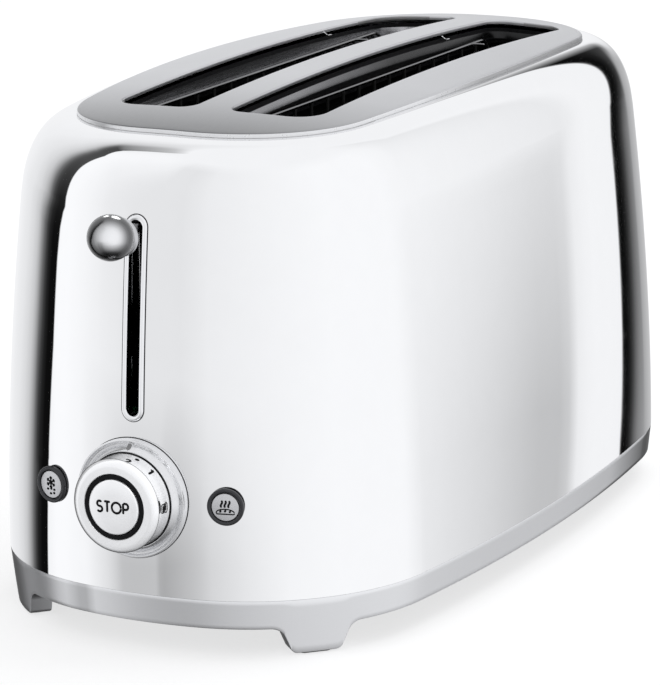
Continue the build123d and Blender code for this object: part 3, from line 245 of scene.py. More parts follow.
def outline(size, distance):
    """Point of the outline at a distance from the front middle, positive towards +X.

    Each arc turns by distance over radius; the rear half mirrors the front half."""
    centre_x, centre_y, end_angle, side_angle = corner_parts(size)
    half_width, half_length, side, end, corner = values(size)
    total = half_length_round(size)
    reach = np.abs(distance)
    behind = reach > total / 2
    way = np.where(behind, total - reach, reach)
    end_way = end * end_angle
    corner_way = corner * (np.pi / 2 - side_angle - end_angle)
    first = way / end
    second = end_angle + (way - end_way) / corner
    third = side_angle - (way - end_way - corner_way) / side
    on_end, on_corner = way < end_way, way < end_way + corner_way
    x = np.where(on_end, end * np.sin(first), centre_x + corner * np.sin(second))
    x = np.where(on_corner, x, half_width - side + side * np.cos(third))
    y = np.where(on_end, half_length - end + end * np.cos(first), centre_y + corner * np.cos(second))
    y = np.where(on_corner, y, side * np.sin(third))
    return np.sign(distance) * x, np.where(behind, y, -y)


def size_at(share_up):
    """Outline sizes at a share of the body's height.

    The share of the way from foot to plate is a power of the height, for the leaning wall, plus a
    superellipse quarter above the shoulder's start."""
    turn = np.clip((share_up - SHOULDER_START) / (1 - SHOULDER_START), 0, 1)
    shoulder = 1 - (1 - turn**SHOULDER_POWER) ** (1 / SHOULDER_POWER)
    share = LEAN_SHARE * share_up**LEAN_POWER + (1 - LEAN_SHARE) * shoulder
    return body_size() + (plate_size() - body_size()) * share[..., None], turn


def body_point(distance, level):
    """Point of the body's outer face at a distance round it and a level up it, in millimetres."""
    distance, level = np.broadcast_arrays(np.asarray(distance, float), np.asarray(level, float))
    size, turn = size_at(rise(level))
    x, y = outline(size, distance)
    plate = plate_size()
    crown = crown_fall(x * plate[0] / size[..., 0], y * plate[1] / size[..., 1])
    return np.stack([x, y, level + turn * (plate_under() - crown - RIM_GAP - rim_height())], -1)


def front_face(x, z):
    """Y of the control end's outer face: the end arc of the outline at that height."""
    size, _ = size_at(rise(z))
    return size[..., 3] - size[..., 1] - np.sqrt(size[..., 3] ** 2 - x**2)


def face_y():
    return float(front_face(0.0, DIAL_Z))


# Grids, joins and meshes


def unit(vectors):
    return vectors / np.linalg.norm(vectors, axis=-1, keepdims=True)


def circle(angle):
    """Points of the unit circle: cosine and sine of angles."""
    return np.stack([np.cos(angle), np.sin(angle)], -1)


def full_turn(steps):
    return np.linspace(0, 2 * np.pi, steps, endpoint=False)


def grid_quads(rows, columns, closed):
    """Four-cornered faces of a grid, whose columns may close into a ring."""
    row, column = np.meshgrid(np.arange(rows - 1), np.arange(columns if closed else columns - 1), indexing="ij")
    here, after = row * columns + column, row * columns + (column + 1) % columns
    return np.stack([here, after, after + columns, here + columns], -1)


def patch(points, closed=False, keep=None):
    """A grid of points, rows by columns, with its faces; keep leaves some of the faces out."""
    quads = grid_quads(points.shape[0], points.shape[1], closed)
    quads = quads.reshape(-1, 4) if keep is None else quads[keep]
    return points.reshape(-1, 3), quads


def gather(patches):
    """Puts patches into one list of points and one of faces."""
    counts = np.cumsum([0] + [len(points) for points, _ in patches])
    points = np.concatenate([points for points, _ in patches])
    return points, np.concatenate([quads + start for (_, quads), start in zip(patches, counts)])


def weld(points, quads):
    """Joins the faces' corners that share a spot; a quad that loses a corner becomes a triangle."""
    corners = points[quads.reshape(-1)]
    keys = np.round(corners * SPOTS_PER_MILLIMETRE).astype(np.int64)
    _, first, spot = np.unique(keys, axis=0, return_index=True, return_inverse=True)
    quads = spot.reshape(-1, 4)
    same = quads == np.roll(quads, -1, axis=1)
    lost = same.sum(1)
    triangles = quads[lost == 1][~same[lost == 1]].reshape(-1, 3)
    return corners[first], quads[lost == 0], triangles


def thicken(points, quads, triangles, wall):
    """Gives a surface a wall inwards: each point moves against its normal, and free edges are closed."""
    corners = np.concatenate([quads[:, [0, 1, 2]], quads[:, [2, 3, 0]], triangles])
    sides = points[corners]
    face_normals = np.cross(sides[:, 1] - sides[:, 0], sides[:, 2] - sides[:, 0])
    normals = np.zeros_like(points)
    for corner in range(3):
        np.add.at(normals, corners[:, corner], face_normals)
    count = len(points)
    starts = np.concatenate([quads.reshape(-1), triangles.reshape(-1)])
    ends = np.concatenate([np.roll(quads, -1, 1).reshape(-1), np.roll(triangles, -1, 1).reshape(-1)])
    free = ~np.isin(starts * count + ends, ends * count + starts)
    a, b = starts[free], ends[free]
    quads = np.concatenate([quads, quads[:, ::-1] + count, np.stack([b, a, a + count, b + count], 1)])
    triangles = np.concatenate([triangles, triangles[:, ::-1] + count])
    return np.concatenate([points, points - unit(normals) * wall]), quads, triangles


def make_piece(name, patches, finish, body, replaces=(), wall=0.0, others=()):
    """Puts patches into a mesh in metres, in the frame of the CAD, and lets it ride on its body, if it has one.

    Others are more finishes, each with a rule that takes the middles of the faces and says which get it."""
    points, quads, triangles = weld(*gather(patches))
    if wall:
        points, quads, triangles = thicken(points, quads, triangles, wall)
    mesh = bpy.data.meshes.new(name)
    metres = (points + (0, SHIFT_Y, 0)) / 1000
    mesh.from_pydata(metres.tolist(), [], quads.tolist() + triangles.tolist(), shade_flat=False)
    solid = bmesh.new()
    solid.from_mesh(mesh)
    bmesh.ops.recalc_face_normals(solid, faces=solid.faces)
    solid.to_mesh(mesh)
    solid.free()
    mesh.set_sharp_from_angle(angle=math.radians(SHARP_ANGLE))
    mesh.materials.append(make_material(finish))
    middles = np.empty(3 * len(mesh.polygons))
    mesh.polygons.foreach_get("center", middles)
    numbers = np.zeros(len(mesh.polygons), np.int32)
    for number, (other, rule) in enumerate(others, 1):
        mesh.materials.append(make_material(other))
        numbers[rule(middles.reshape(-1, 3) * 1000 - (0, SHIFT_Y, 0))] = number
    mesh.polygons.foreach_set("material_index", numbers)
    piece = bpy.data.objects.new(name, mesh)
    bpy.context.scene.collection.objects.link(piece)
    if body:
        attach(piece, body)
    if replaces:
        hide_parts(*replaces)
    return piece


def run(points):
    """Distance of each point along an open line of points."""
    return np.concatenate([[0], np.cumsum(np.linalg.norm(np.diff(points, axis=0), axis=1))])


def picked(points, along, wanted):
    """Points of a line at wanted distances along it."""
    return np.stack([np.interp(wanted, along, column) for column in points.T], -1)


def evenly(points, count):
    """Points spaced evenly along an open line of points."""
    along = run(points)
    return picked(points, along, np.linspace(0, along[-1], count))


def arc(centre, radius, start, end, count=25):
    """Points of an arc between two angles in degrees; the radius may differ across and up."""
    return np.asarray(centre, float) + circle(np.radians(np.linspace(start, end, count))) * radius


def straight(*corners, counts=9):
    """Points along straight lines from corner to corner, with a count for each line or one for all."""
    counts = np.broadcast_to(counts, len(corners) - 1)
    return np.concatenate([np.linspace(*ends) for ends in zip(corners, corners[1:], counts)])


def rounded_corner(corner, before, after, radius, count=17):
    """Arc that rounds a corner: its centre lies on the bisector, radius over the sine of half the angle away."""
    corner = np.asarray(corner, float)
    back, onward = unit(before - corner), unit(after - corner)
    half = math.acos(float(np.clip(back @ onward, -1, 1))) / 2
    centre = corner + unit(back + onward) * radius / math.sin(half)
    start = corner + back * radius / math.tan(half) - centre
    end = corner + onward * radius / math.tan(half) - centre
    first = math.atan2(start[1], start[0])
    swing = (math.atan2(end[1], end[0]) - first + math.pi) % (2 * math.pi) - math.pi
    return centre + radius * circle(first + swing * np.linspace(0, 1, count))


def turned(profile, place, steps=96):
    """Profile of radius and height turned once round an axis, then put in place.

    Place takes across, out and up, each an array, and returns points. A height of nan in a profile
    stands for the shell's face."""
    profile = np.asarray(profile, float)
    angle = full_turn(steps)
    across, up = profile[:, :1] * np.cos(angle), profile[:, :1] * np.sin(angle)
    out = profile[:, 1:] + 0 * angle
    seated = np.isnan(profile[:, 1])
    out[seated] = landed(place, across[seated], up[seated])
    return patch(place(across, out, up), closed=True)


def landed(place, across, up):
    """Heights along a piece's axis at which it meets the control end's face, by three steps of the same rule."""
    out = 0 * across
    for _ in range(3):
        points = place(across, out, up)
        slope = place(across, out + 1.0, up)[..., 1] - points[..., 1]
        out = out + (front_face(points[..., 0], points[..., 2]) - points[..., 1]) / slope
    return out


def sweep(path, normals, sides, half_widths, closed=False):
    """Ring section carried along a path: each ring point is the path plus two normals times sine and cosine."""
    angle = full_turn(sides) + np.pi / sides
    first, second = normals
    radius = np.broadcast_to(half_widths, (len(path),))[:, None, None]
    ring = path[:, None] + radius * np.cos(angle)[:, None] * first[:, None]
    ring = ring + radius * np.sin(angle)[:, None] * second[:, None]
    return patch(np.concatenate([ring, ring[:1]]) if closed else ring, closed=True)


def wire(path, axis, radius, sides=8):
    """Round wire along a path in a plane square to axis; its last rings shrink to closed, rounded ends."""
    path = np.asarray(path, float)
    tangents = unit(np.gradient(path, axis=0))
    reach = radius * np.array([0.0, 0.55, 0.9])
    widths = radius * np.array([0.0, 0.75, 1.0])
    head = path[:1] - tangents[:1] * (0.9 * radius - reach)[:, None]
    tail = path[-1:] + tangents[-1:] * (0.9 * radius - reach[::-1])[:, None]
    whole = np.concatenate([head[:-1], path, tail[1:]])
    thickness = np.concatenate([widths[:-1], np.full(len(path), radius), widths[::-1][1:]])
    along = np.concatenate([np.repeat(tangents[:1], 2, 0), tangents, np.repeat(tangents[-1:], 2, 0)])
    across = np.broadcast_to(np.asarray(axis, float), along.shape)
    return sweep(whole, (across, np.cross(along, across)), sides, thickness)


def on_front(flat, out):
    """Points of a flat drawing, across and up, put on the control end's face and out by a distance."""
    x, z = flat[..., 0], flat[..., 1]
    return np.stack([x, front_face(x, z) - out, z], -1)


def on_dial(across, out, up):
    """Place on the dial's axis, with zero at the face of the shell."""
    return np.stack([across, face_y() - out, DIAL_Z + up], -1)


def button_place(side):
    """Place on the tilted axis of the defrost (-1) or reheat (+1) button."""
    x = side * BUTTON_X
    lean = math.asin(x / float(size_at(rise(BUTTON_Z))[0][3]))
    y = float(front_face(x, BUTTON_Z))

    def place(across, out, up):
        turned_x = x + across * math.cos(lean) + out * math.sin(lean)
        return np.stack([turned_x, y + across * math.sin(lean) - out * math.cos(lean), BUTTON_Z + up], -1)

    return place


# Printed marks


def stroke(points, width, surface, low=-0.05, high=0.06):
    """Printed line: a thin closed bar along a drawn line, laid on a surface.

    The line's half width falls off as a half circle at both ends. Surface takes across, up and
    height off the surface, and returns points."""
    points = np.asarray(points, float)
    half = width / 2
    along = run(points)
    ends = half * np.array([0.0, 0.08, 0.3, 0.6, 1.0])
    inner = along[(along > ends[-1]) & (along < along[-1] - ends[-1])]
    wanted = np.concatenate([ends, inner, along[-1] - ends[::-1]])
    line = picked(points, along, wanted)
    tangent = unit(np.gradient(line, axis=0))
    away = np.clip(np.minimum(wanted, along[-1] - wanted) / half, 0, 1)
    fall = half * np.sqrt(np.clip(1 - (1 - away) ** 2, 0.0, 1))
    side = np.stack([-tangent[:, 1], tangent[:, 0]], -1) * fall[:, None]
    corners = ((line + side, low), (line + side, high), (line - side, high), (line - side, low))
    ring = np.stack([surface(flat[:, 0], flat[:, 1], level + 0 * flat[:, 0]) for flat, level in corners], 1)
    first, last = (np.repeat(end.mean(1, keepdims=True), 4, 1) for end in (ring[:1], ring[-1:]))
    return patch(np.concatenate([first, ring, last]), closed=True)


def wave(x, swing, start, end, count):
    """Upright wave: one full sine across, between two heights."""
    sine = np.sin(np.linspace(0, 2 * np.pi, count))
    return np.stack([x + swing * sine, np.linspace(start, end, count)], -1)


def stop_word():
    """Lines of the four letters, 4.4 high: S of two arcs, T, O as a ring, and P."""
    high = 4.4
    upper = arc((1.45, high * 0.745), (1.1, high * 0.245), 35, 270)
    lower = arc((1.45, high * 0.245), (1.2, high * 0.255), 90, -150)
    bowl = arc((1.5, high * 0.72), (1.1, high * 0.28), 90, -90)
    head, foot = straight((0.3, high), (1.5, high)), straight((1.5, high * 0.44), (0.3, high * 0.44))
    letters = (
        (-7.7, [np.concatenate([upper, lower[1:]])]),
        (-4.35, [straight((0.2, high), (3.0, high)), straight((1.6, high), (1.6, 0))]),
        (-0.75, [arc((2.25, high / 2), (2.1, high / 2), 0, 360, 49)]),
        (4.35, [straight((0.3, 0), (0.3, high)), np.concatenate([head, bowl, foot])]),
    )
    return [line + (across, -high / 2) for across, lines in letters for line in lines]


# The dial's numbers from 1 to 6, each one line, 3.2 high and centred
DIGITS = (
    straight((-0.7, 0.8), (0.25, 1.6), (0.25, -1.6), counts=(5, 9)),
    np.concatenate([
        arc((0, 0.75), (0.9, 0.85), 160, -20), straight((0.85, 0.45), (-0.9, -1.6), (1.0, -1.6), counts=7),
    ]),
    np.concatenate([arc((0, 0.8), (0.85, 0.8), 150, -90), arc((0, -0.8), (0.95, 0.8), 90, -150)]),
    straight((0.4, -1.6), (0.4, 1.6), (-1.0, -0.7), (1.0, -0.7)),
    np.concatenate([straight((0.8, 1.6), (-0.7, 1.6), (-0.8, 0.2), counts=7), arc((0, -0.6), (0.95, 1.0), 130, -145)]),
    np.concatenate([arc((0.5, -0.5), (1.4, 2.2), 100, 180, 13), arc((0, -0.6), (0.9, 1.0), 180, -180, 33)]),
)


def toast_icon():
    """Lines of a slice of bread and of three waves on it."""
    crust = ((-1.5, -1.5), (1.5, -1.5), (1.5, 0.7), (1.9, 1.3), (1.3, 1.8), (-1.3, 1.8), (-1.9, 1.3), (-1.5, 0.7))
    crust = np.array(crust + crust[:1], float)
    return [evenly(crust, 49)] + [wave(x, 0.18, -1.0, 1.2, 13) for x in (-0.75, 0, 0.75)]


def snowflake_icon():
    """Lines of six arms with two twigs each, and of the drops under them."""
    arms = []
    for turn in range(90, 450, 60):
        tip = circle(math.radians(turn))
        arms.append(straight((0, 0), tip * 1.9))
        for lean in (-50, 50):
            arms.append(straight(tip * 1.15, tip * 1.15 + circle(math.radians(turn + lean)) * 0.7, counts=5))
    spots = ((-1.3, -1.55), (0.1, -1.3), (1.4, -1.5), (-0.1, -2.9), (1.3, -2.6))
    return [arm + (0, 0.9) for arm in arms], [straight((x, z - 0.4), (x, z + 0.4), counts=7) for x, z in spots]


def warm_icon():
    """Lines of three waves of heat, of a long loaf under them and of its cuts."""
    heat = [wave(x, 0.24, 2.3, -0.1, 17) for x in (-1.25, 0.0, 1.25)]
    loaf = np.concatenate([
        arc((0, -1.75), (3.0, 1.15), 0, 180, 33), arc((-2.6, -1.9), (0.4, 0.35), 170, 270, 7),
        straight((-2.5, -2.25), (2.5, -2.25), counts=17), arc((2.6, -1.9), (0.4, 0.35), -90, 10, 7),
    ])
    ends = [((x - 0.35, -1.0 - 0.07 * x * x), (x + 0.25, -1.45 - 0.05 * x * x)) for x in (-1.6, 0.0, 1.6)]
    return heat, loaf, [straight(*pair, counts=7) for pair in ends]


# Nodes


def feed(tree, value, socket):
    """Links a socket to another, or writes a plain value on it; None leaves it as it is."""
    if isinstance(value, bpy.types.NodeSocket):
        tree.links.new(value, socket)
    elif value is not None:
        socket.default_value = value


def add_node(tree, kind, *inputs, **attributes):
    """New node with its attributes, and with values or links for its first inputs."""
    node = tree.nodes.new(kind)
    for name, value in attributes.items():
        setattr(node, name, value)
    for socket, value in zip(node.inputs, inputs):
        feed(tree, value, socket)
    return node


def calc(tree, operation, *inputs, clamp=False):
    """Math node on sockets or numbers."""
    return add_node(tree, "ShaderNodeMath", *inputs, operation=operation, use_clamp=clamp).outputs[0]


def spread(tree, value, *ends):
    """Map Range node: a straight rule from one span to another, held at its ends."""
    return add_node(tree, "ShaderNodeMapRange", value, *ends).outputs[0]


def blend_colours(tree, share, first, second, kind="MIX"):
    node = add_node(tree, "ShaderNodeMix", share, data_type="RGBA", blend_type=kind)
    feed(tree, first, node.inputs[6])
    feed(tree, second, node.inputs[7])
    return node.outputs[2]


def ramp(tree, value, stops):
    """Colour ramp with grey stops, each a place and a level."""
    node = add_node(tree, "ShaderNodeValToRGB", value)
    elements = node.color_ramp.elements
    while len(elements) < len(stops):
        elements.new(0.5)
    for element, (place, _) in zip(elements, stops):
        element.position = place
    for element, (_, level) in zip(elements, stops):
        element.color = (level, level, level, 1.0)
    return node.outputs[0]


def noise_group(name, scale, layers, outputs, rule):
    """Shader group with noises on one vector, each with a multiple of the scale and a detail.

    Rule takes the group and the noises, and returns what its outputs give."""
    if name in bpy.data.node_groups:
        return bpy.data.node_groups[name]
    group = bpy.data.node_groups.new(name, "ShaderNodeTree")
    group.interface.new_socket(name="Vector", in_out="INPUT", socket_type="NodeSocketVector")
    group.interface.new_socket(name="Scale", in_out="INPUT", socket_type="NodeSocketFloat").default_value = scale
    for label in outputs:
        group.interface.new_socket(name=label, in_out="OUTPUT", socket_type="NodeSocketFloat")
    vector, size = group.nodes.new("NodeGroupInput").outputs[:2]
    noises = []
    for times, detail in layers:
        scaled = calc(group, "MULTIPLY", size, times)
        noises.append(add_node(group, "ShaderNodeTexNoise", vector, None, scaled, detail).outputs[0])
    for socket, value in zip(group.nodes.new("NodeGroupOutput").inputs, rule(group, *noises)):
        feed(group, value, socket)
    return group


def grain_group():
    """Fine grain of drawn or blasted metal: two noises, one over twice as fine, added; gives a height and a tone."""

    def rule(group, coarse, fine):
        both = calc(group, "MULTIPLY_ADD", fine, 0.5, calc(group, "MULTIPLY", coarse, 0.5))
        return both, spread(group, both, 0.35, 0.65, 0.0, 1.0)

    return noise_group("Metal grain", 900.0, ((1.0, 3.0), (2.3, 2.0)), ("Height", "Tone"), rule)


def smudge_group():
    """Soft handling marks: broad noise, cut so that only its upper part shows, broken up by a finer one."""

    def rule(group, broad, broken):
        patches = spread(group, broad, 0.5, 0.72, 0.0, 1.0)
        return (calc(group, "MULTIPLY", patches, spread(group, broken, 0.35, 0.65, 0.35, 1.0)),)

    return noise_group("Handling smudges", 18.0, ((1.0, 2.0), (9.0, 4.0)), ("Mask",), rule)


# Finishes

# Each row: colour or its setting, metallic, roughness, the grain's scale, depth in millimetres and tone, and then,
# as far as they differ from USUAL, play of the roughness, the smudges' scale, strength of the marks and stretch
USUAL = (0.05, 18.0, 0.06, (1, 1, 1))
BLACK = (0.006, 0.006, 0.007)
FINISHES = {
    "polished_chrome": ("shell", 1.0, 0.025, 60.0, 0.0, 0.005, 0.006, 9.0, 0.02),
    "satin_plate": ("plate", 1.0, 0.34, 420.0, 0.008, 0.03, 0.04, 14.0, 0.05, (6.0, 0.35, 6.0)),
    # The plate's rolled edge, the same sheet as the plate: its lighter colour is painted light, and its darkening
    # towards the rear is painted shade
    "lit_plate_edge": ((0.86, 0.865, 0.88), 0.6, 0.3, 420.0, 0.002, 0.02, 0.03, 14.0, 0.03),
    "pale_seal": ((0.7, 0.7, 0.71), 0.0, 0.5, 1500.0, 0.0, 0.02, 0.05, 60.0, 0.05),
    # Two copies of the plinth's finish, for its front and its sides, that differ only in edge tint and painted shade
    "satin_casting": ("plinth", 1.0, 0.32, 1400.0, 0.0, 0.006, 0.01, 16.0, 0.02),
    "satin_flank": ("plinth", 1.0, 0.32, 1400.0, 0.0, 0.006, 0.01, 16.0, 0.02),
    "bright_plating": ((0.93, 0.935, 0.95), 1.0, 0.045, 700.0, 0.0, 0.015, 0.02, 30.0, 0.05),
    # The collar's plating: the bright plating darkened, as painted shade
    "shaded_collar_plating": ((0.6, 0.605, 0.62), 1.0, 0.1, 700.0, 0.0, 0.015, 0.02, 30.0, 0.05),
    "dark_satin_ball": ("ball", 1.0, 0.17, 900.0, 0.0008, 0.01, 0.02, 60.0, 0.02, (1, 3.5, 1)),
    # Black of the shadow lines: painted shadow round the dish, behind the skirt, in the dial's groove and round the
    # lever slot
    "shadow_line_black": ((0.03, 0.03, 0.032), 0.0, 0.6, 1500.0, 0.006, 0.2, 0.1),
    "bezel_satin": ("bezel", 0.8, 0.22, 900.0, 0.0, 0.01, 0.01, 40.0, 0.0),
    # Two copies of the dial's finish that differ only in edge tint and painted dark outline: painted shade
    "pale_dial_metal": ("dial", 0.4, 0.14, 1500.0, 0.0, 0.006, 0.01, 40.0, 0.0),
    "rounded_dial_metal": ("dial", 0.4, 0.14, 1500.0, 0.0, 0.006, 0.01, 40.0, 0.0),
    "black_gloss_ring": (BLACK, 0.0, 0.2, 1200.0, 0.0005, 0.2, 0.04, 50.0, 0.1),
    "printed_black": (BLACK, 0.0, 0.45, 2500.0, 0.001, 0.2, 0.08, 60.0, 0.1),
    "grey_tick": ((0.26, 0.26, 0.265), 0.0, 0.5, 1500.0, 0.002, 0.1, 0.08),
    "dark_ring": ("ring", 0.6, 0.22, 900.0, 0.002, 0.1, 0.05, 60.0, 0.1),
    "button_satin": ("cap", 0.6, 0.3, 1600.0, 0.001, 0.03, 0.05, 60.0, 0.05),
    # Near black of the collar under each slot and of the liner below its strip: painted shade inside the slot
    "shade_black_liner": ((0.008, 0.008, 0.009), 0.0, 0.5, 500.0, 0.02, 0.2, 0.1),
    # The two slots' strips are one sheet in two tones, the right darker than the left: painted light and shade
    "liner_strip_right": ((0.3, 0.3, 0.309), 1.0, 0.26, 300.0, 0.002, 0.06, 0.04, 45.0, 0.1, (1, 0.2, 6)),
    "liner_strip_left": ((0.6, 0.6, 0.618), 1.0, 0.26, 300.0, 0.002, 0.06, 0.04, 45.0, 0.1, (1, 0.2, 6)),
    # The top of the bread guides' wire, lighter than the rest of the same wire: painted light
    "guide_rail": ((0.22, 0.22, 0.225), 1.0, 0.2, 900.0, 0.002, 0.05, 0.05, 30.0, 0.15),
    # The near-black finishes of the bread guides, chamber plating, divider, reflectors, racks, heating boards and
    # ribbons are painted shade inside the slots
    "shade_dark_wire": ((0.02, 0.02, 0.02), 0.5, 0.55, 900.0, 0.006, 0.2, 0.1, 60.0, 0.3),
    "spring_wire": ((0.62, 0.62, 0.63), 1.0, 0.25, 900.0, 0.004, 0.06, 0.06),
    "black_enamel": ((0.01, 0.01, 0.011), 0.0, 0.7, 260.0, 0.004, 0.2),
    "shade_dark_plating": ((0.035, 0.035, 0.037), 0.9, 0.45, 260.0, 0.008, 0.12, 0.08, 22.0, 0.2),
    "shade_dark_divider": ((0.012, 0.012, 0.012), 0.0, 0.8, 260.0, 0.004, 0.2),
    "galvanised_base": ((0.5, 0.505, 0.515), 1.0, 0.38, 260.0, 0.008, 0.1, 0.08, 22.0, 0.15),
    "shade_dark_reflector": ((0.04, 0.04, 0.042), 1.0, 0.4, 500.0, 0.006, 0.1, 0.05, 18.0, 0.06, (1, 0.15, 4)),
    "drawn_rods": ((0.6, 0.6, 0.61), 1.0, 0.2, 900.0, 0.004, 0.08, 0.05, 18.0, 0.06, (4, 4, 0.3)),
    "plated_rack": ((0.06, 0.06, 0.062), 1.0, 0.4, 600.0, 0.008, 0.08, 0.05, 18.0, 0.06, (3, 0.3, 3)),
    "ground_iron": ((0.3, 0.3, 0.31), 1.0, 0.45, 700.0, 0.02, 0.15, 0.05, 18.0, 0.06, (0.3, 3, 3)),
    "coil_winding": ((0.65, 0.55, 0.2), 0.0, 0.5, 900.0, 0.08, 0.15, 0.05, 18.0, 0.06, (0.1, 0.1, 4)),
    "board_lacquer": ((0.03, 0.16, 0.07), 0.0, 0.35, 400.0, 0.02, 0.15),
    "dark_phenolic": ((0.02, 0.02, 0.02), 0.0, 0.5, 1300.0, 0.02, 0.2),
    "pale_ceramic": ((0.8, 0.8, 0.78), 0.0, 0.45, 1100.0, 0.01, 0.03),
    "drawn_tray": ((0.7, 0.705, 0.72), 1.0, 0.28, 500.0, 0.006, 0.05, 0.05, 18.0, 0.06, (0.3, 4, 4)),
    "zinc_screws": ((0.6, 0.6, 0.58), 1.0, 0.35, 1200.0, 0.01, 0.1),
    "black_rubber": ((0.03, 0.03, 0.03), 0.0, 0.75, 900.0, 0.03, 0.2),
    "shade_dark_mica": ((0.012, 0.012, 0.012), 0.0, 0.8, 120.0, 0.01, 0.3, 0.05, 40.0, 0.05),
    "heating_ribbon": ((0.025, 0.024, 0.023), 1.0, 0.5, 900.0, 0.01, 0.15),
}
# Specular tints below white that keep the glancing reflections of these finishes dim, so that their painted dark
# outline stays dark
EDGE_TINTS = {"satin_casting": 0.4, "satin_flank": 0.85, "pale_dial_metal": 0.15, "rounded_dial_metal": 0.05}
GLOSS_LEVELS = {
    "shadow_line_black": 0.15, "pale_dial_metal": 0.15, "rounded_dial_metal": 0.15, "printed_black": 0.1,
    "black_gloss_ring": 0.12, "shade_black_liner": 0.15, "black_enamel": 0.1, "shade_dark_divider": 0.0, "shade_dark_mica": 0.0,
}
# Painted shade: finishes whose colour is darkened along an axis, between two places in metres: the rolled plate edge
# towards its rear, the left slot's strip towards its top, the right slot's strip towards its rear, and the plinth in a
# band left of the middle and a little towards its left end
PAINTED_SHADE_ALONG = {
    "lit_plate_edge": (1, -0.2, 0.2, ((0.0, 1.0), (0.35, 1.0), (0.5, 0.5), (1.0, 0.42))),
    "liner_strip_left": (2, 0.203, 0.2085, ((0.0, 1.0), (0.4, 0.6), (0.75, 0.2), (1.0, 0.08))),
    "liner_strip_right": (1, -0.1, 0.1, ((0.0, 1.0), (0.22, 1.0), (0.38, 0.62), (0.7, 0.15), (1.0, 0.1))),
    "satin_casting": (
        0, -0.06, 0.0, ((0.0, 0.9), (0.2, 1.0), (0.42, 0.94), (0.54, 0.66), (0.6, 0.66), (0.68, 1.0), (1.0, 1.0)),
    ),
}
# Painted shade along the plate: its front end is painted dark, and its rear end a little
PLATE_PAINTED_SHADE = ((0.0, 0.33), (0.03, 0.4), (0.08, 0.55), (0.14, 0.72), (0.24, 0.91), (0.35, 1.0), (0.9, 1.0), (1.0, 0.92))
# Painted shade and reflection by facing: finishes whose colour changes from where they face the viewer (0) to where
# they are seen at a glancing angle (1); the plinth and the dial are painted dark at their outline, and the ball gets a
# painted bright middle and a dark ring
PAINTED_SHADE_AND_REFLECTION_BY_FACING = {
    "satin_casting": (
        (0.0, 1.0), (0.3, 1.0), (0.45, 1.0), (0.58, 0.9), (0.68, 0.7), (0.78, 0.34), (0.88, 0.07), (1.0, 0.02),
    ),
    "satin_flank": ((0.0, 1.0), (0.72, 1.0), (0.75, 0.6), (0.78, 0.12), (0.82, 0.02), (1.0, 0.0)),
    "pale_dial_metal": ((0.0, 1.0), (0.55, 1.0), (0.72, 0.8), (0.86, 0.3), (1.0, 0.05)),
    "rounded_dial_metal": ((0.0, 1.0), (0.28, 1.0), (0.4, 0.84), (0.52, 0.5), (0.66, 0.12), (1.0, 0.01)),
    "dark_satin_ball": (
        (0.0, 1.0), (0.05, 0.93), (0.1, 0.78), (0.15, 0.6), (0.21, 0.42), (0.3, 0.24), (0.42, 0.16), (0.6, 0.16),
        (0.75, 0.22), (0.9, 0.4), (1.0, 0.6),
    ),
}


def make_material(name):
    """Finish of the table, with grain and handling marks.

    Grain comes from noise on object coordinates stretched along the direction of drawing; it lifts
    the surface through a bump, shifts the colour between two tones and plays the roughness up and
    down. Handling marks darken the colour and dull the surface a little."""
    if name in bpy.data.materials:
        return bpy.data.materials[name]
    row = FINISHES[name]
    colour, metallic, roughness, grain, depth, tone, play, smudge, marks, stretch = row + USUAL[len(row) - 6:]
    if isinstance(colour, str):
        colour = getattr(bpy.context.scene.toaster_finishes, f"{colour}_colour")
    colour = np.asarray(colour, float)
    material = bpy.data.materials.new(name)
    material.use_nodes = True
    tree = material.node_tree
    shader = tree.nodes["Principled BSDF"].inputs
    place = add_node(tree, "ShaderNodeTexCoord").outputs["Object"]
    mapping = add_node(tree, "ShaderNodeMapping", place)
    mapping.inputs["Scale"].default_value = stretch
    fibres = add_node(tree, "ShaderNodeGroup", mapping.outputs[0], grain, node_tree=grain_group()).outputs
    smudges = add_node(tree, "ShaderNodeGroup", place, smudge, node_tree=smudge_group()).outputs
    dark, light = (*(colour * (1 - tone)), 1.0), (*np.clip(colour * (1 + tone), 0, 1), 1.0)
    toned = blend_colours(tree, fibres["Tone"], dark, light)
    weak = calc(tree, "MULTIPLY", smudges["Mask"], marks)
    tree.links.new(blend_colours(tree, weak, toned, (*(colour * 0.6), 1.0)), shader["Base Color"])
    played = spread(tree, fibres["Tone"], 0.0, 1.0, max(roughness - play, 0.0), roughness + play)
    dulled = calc(tree, "MULTIPLY_ADD", smudges["Mask"], marks * 0.4, played, clamp=True)
    tree.links.new(dulled, shader["Roughness"])
    if depth:
        bump = add_node(tree, "ShaderNodeBump")
        bump.inputs["Strength"].default_value = 1.0
        bump.inputs["Distance"].default_value = depth / 1000
        tree.links.new(fibres["Height"], bump.inputs["Height"])
        tree.links.new(bump.outputs[0], shader["Normal"])
    shader["Metallic"].default_value = metallic
    if name in EDGE_TINTS:
        shader["Specular Tint"].default_value = (*[EDGE_TINTS[name]] * 3, 1.0)
    if name in GLOSS_LEVELS:
        shader["Specular IOR Level"].default_value = GLOSS_LEVELS[name]
    if name in PAINTED_SHADE_ALONG:
        paint_shade_along(material, *PAINTED_SHADE_ALONG[name])
    if name in PAINTED_SHADE_AND_REFLECTION_BY_FACING:
        paint_shade(material, add_node(tree, "ShaderNodeLayerWeight").outputs["Facing"], PAINTED_SHADE_AND_REFLECTION_BY_FACING[name])
    return material


def paint_shade(material, value, stops):
    """Paints shade or reflection: multiplies a material's colour by a ramp of a value."""
    tree = material.node_tree
    socket = tree.nodes["Principled BSDF"].inputs["Base Color"]
    before = socket.links[0].from_socket
    tree.links.new(blend_colours(tree, 1.0, before, ramp(tree, value, stops), "MULTIPLY"), socket)


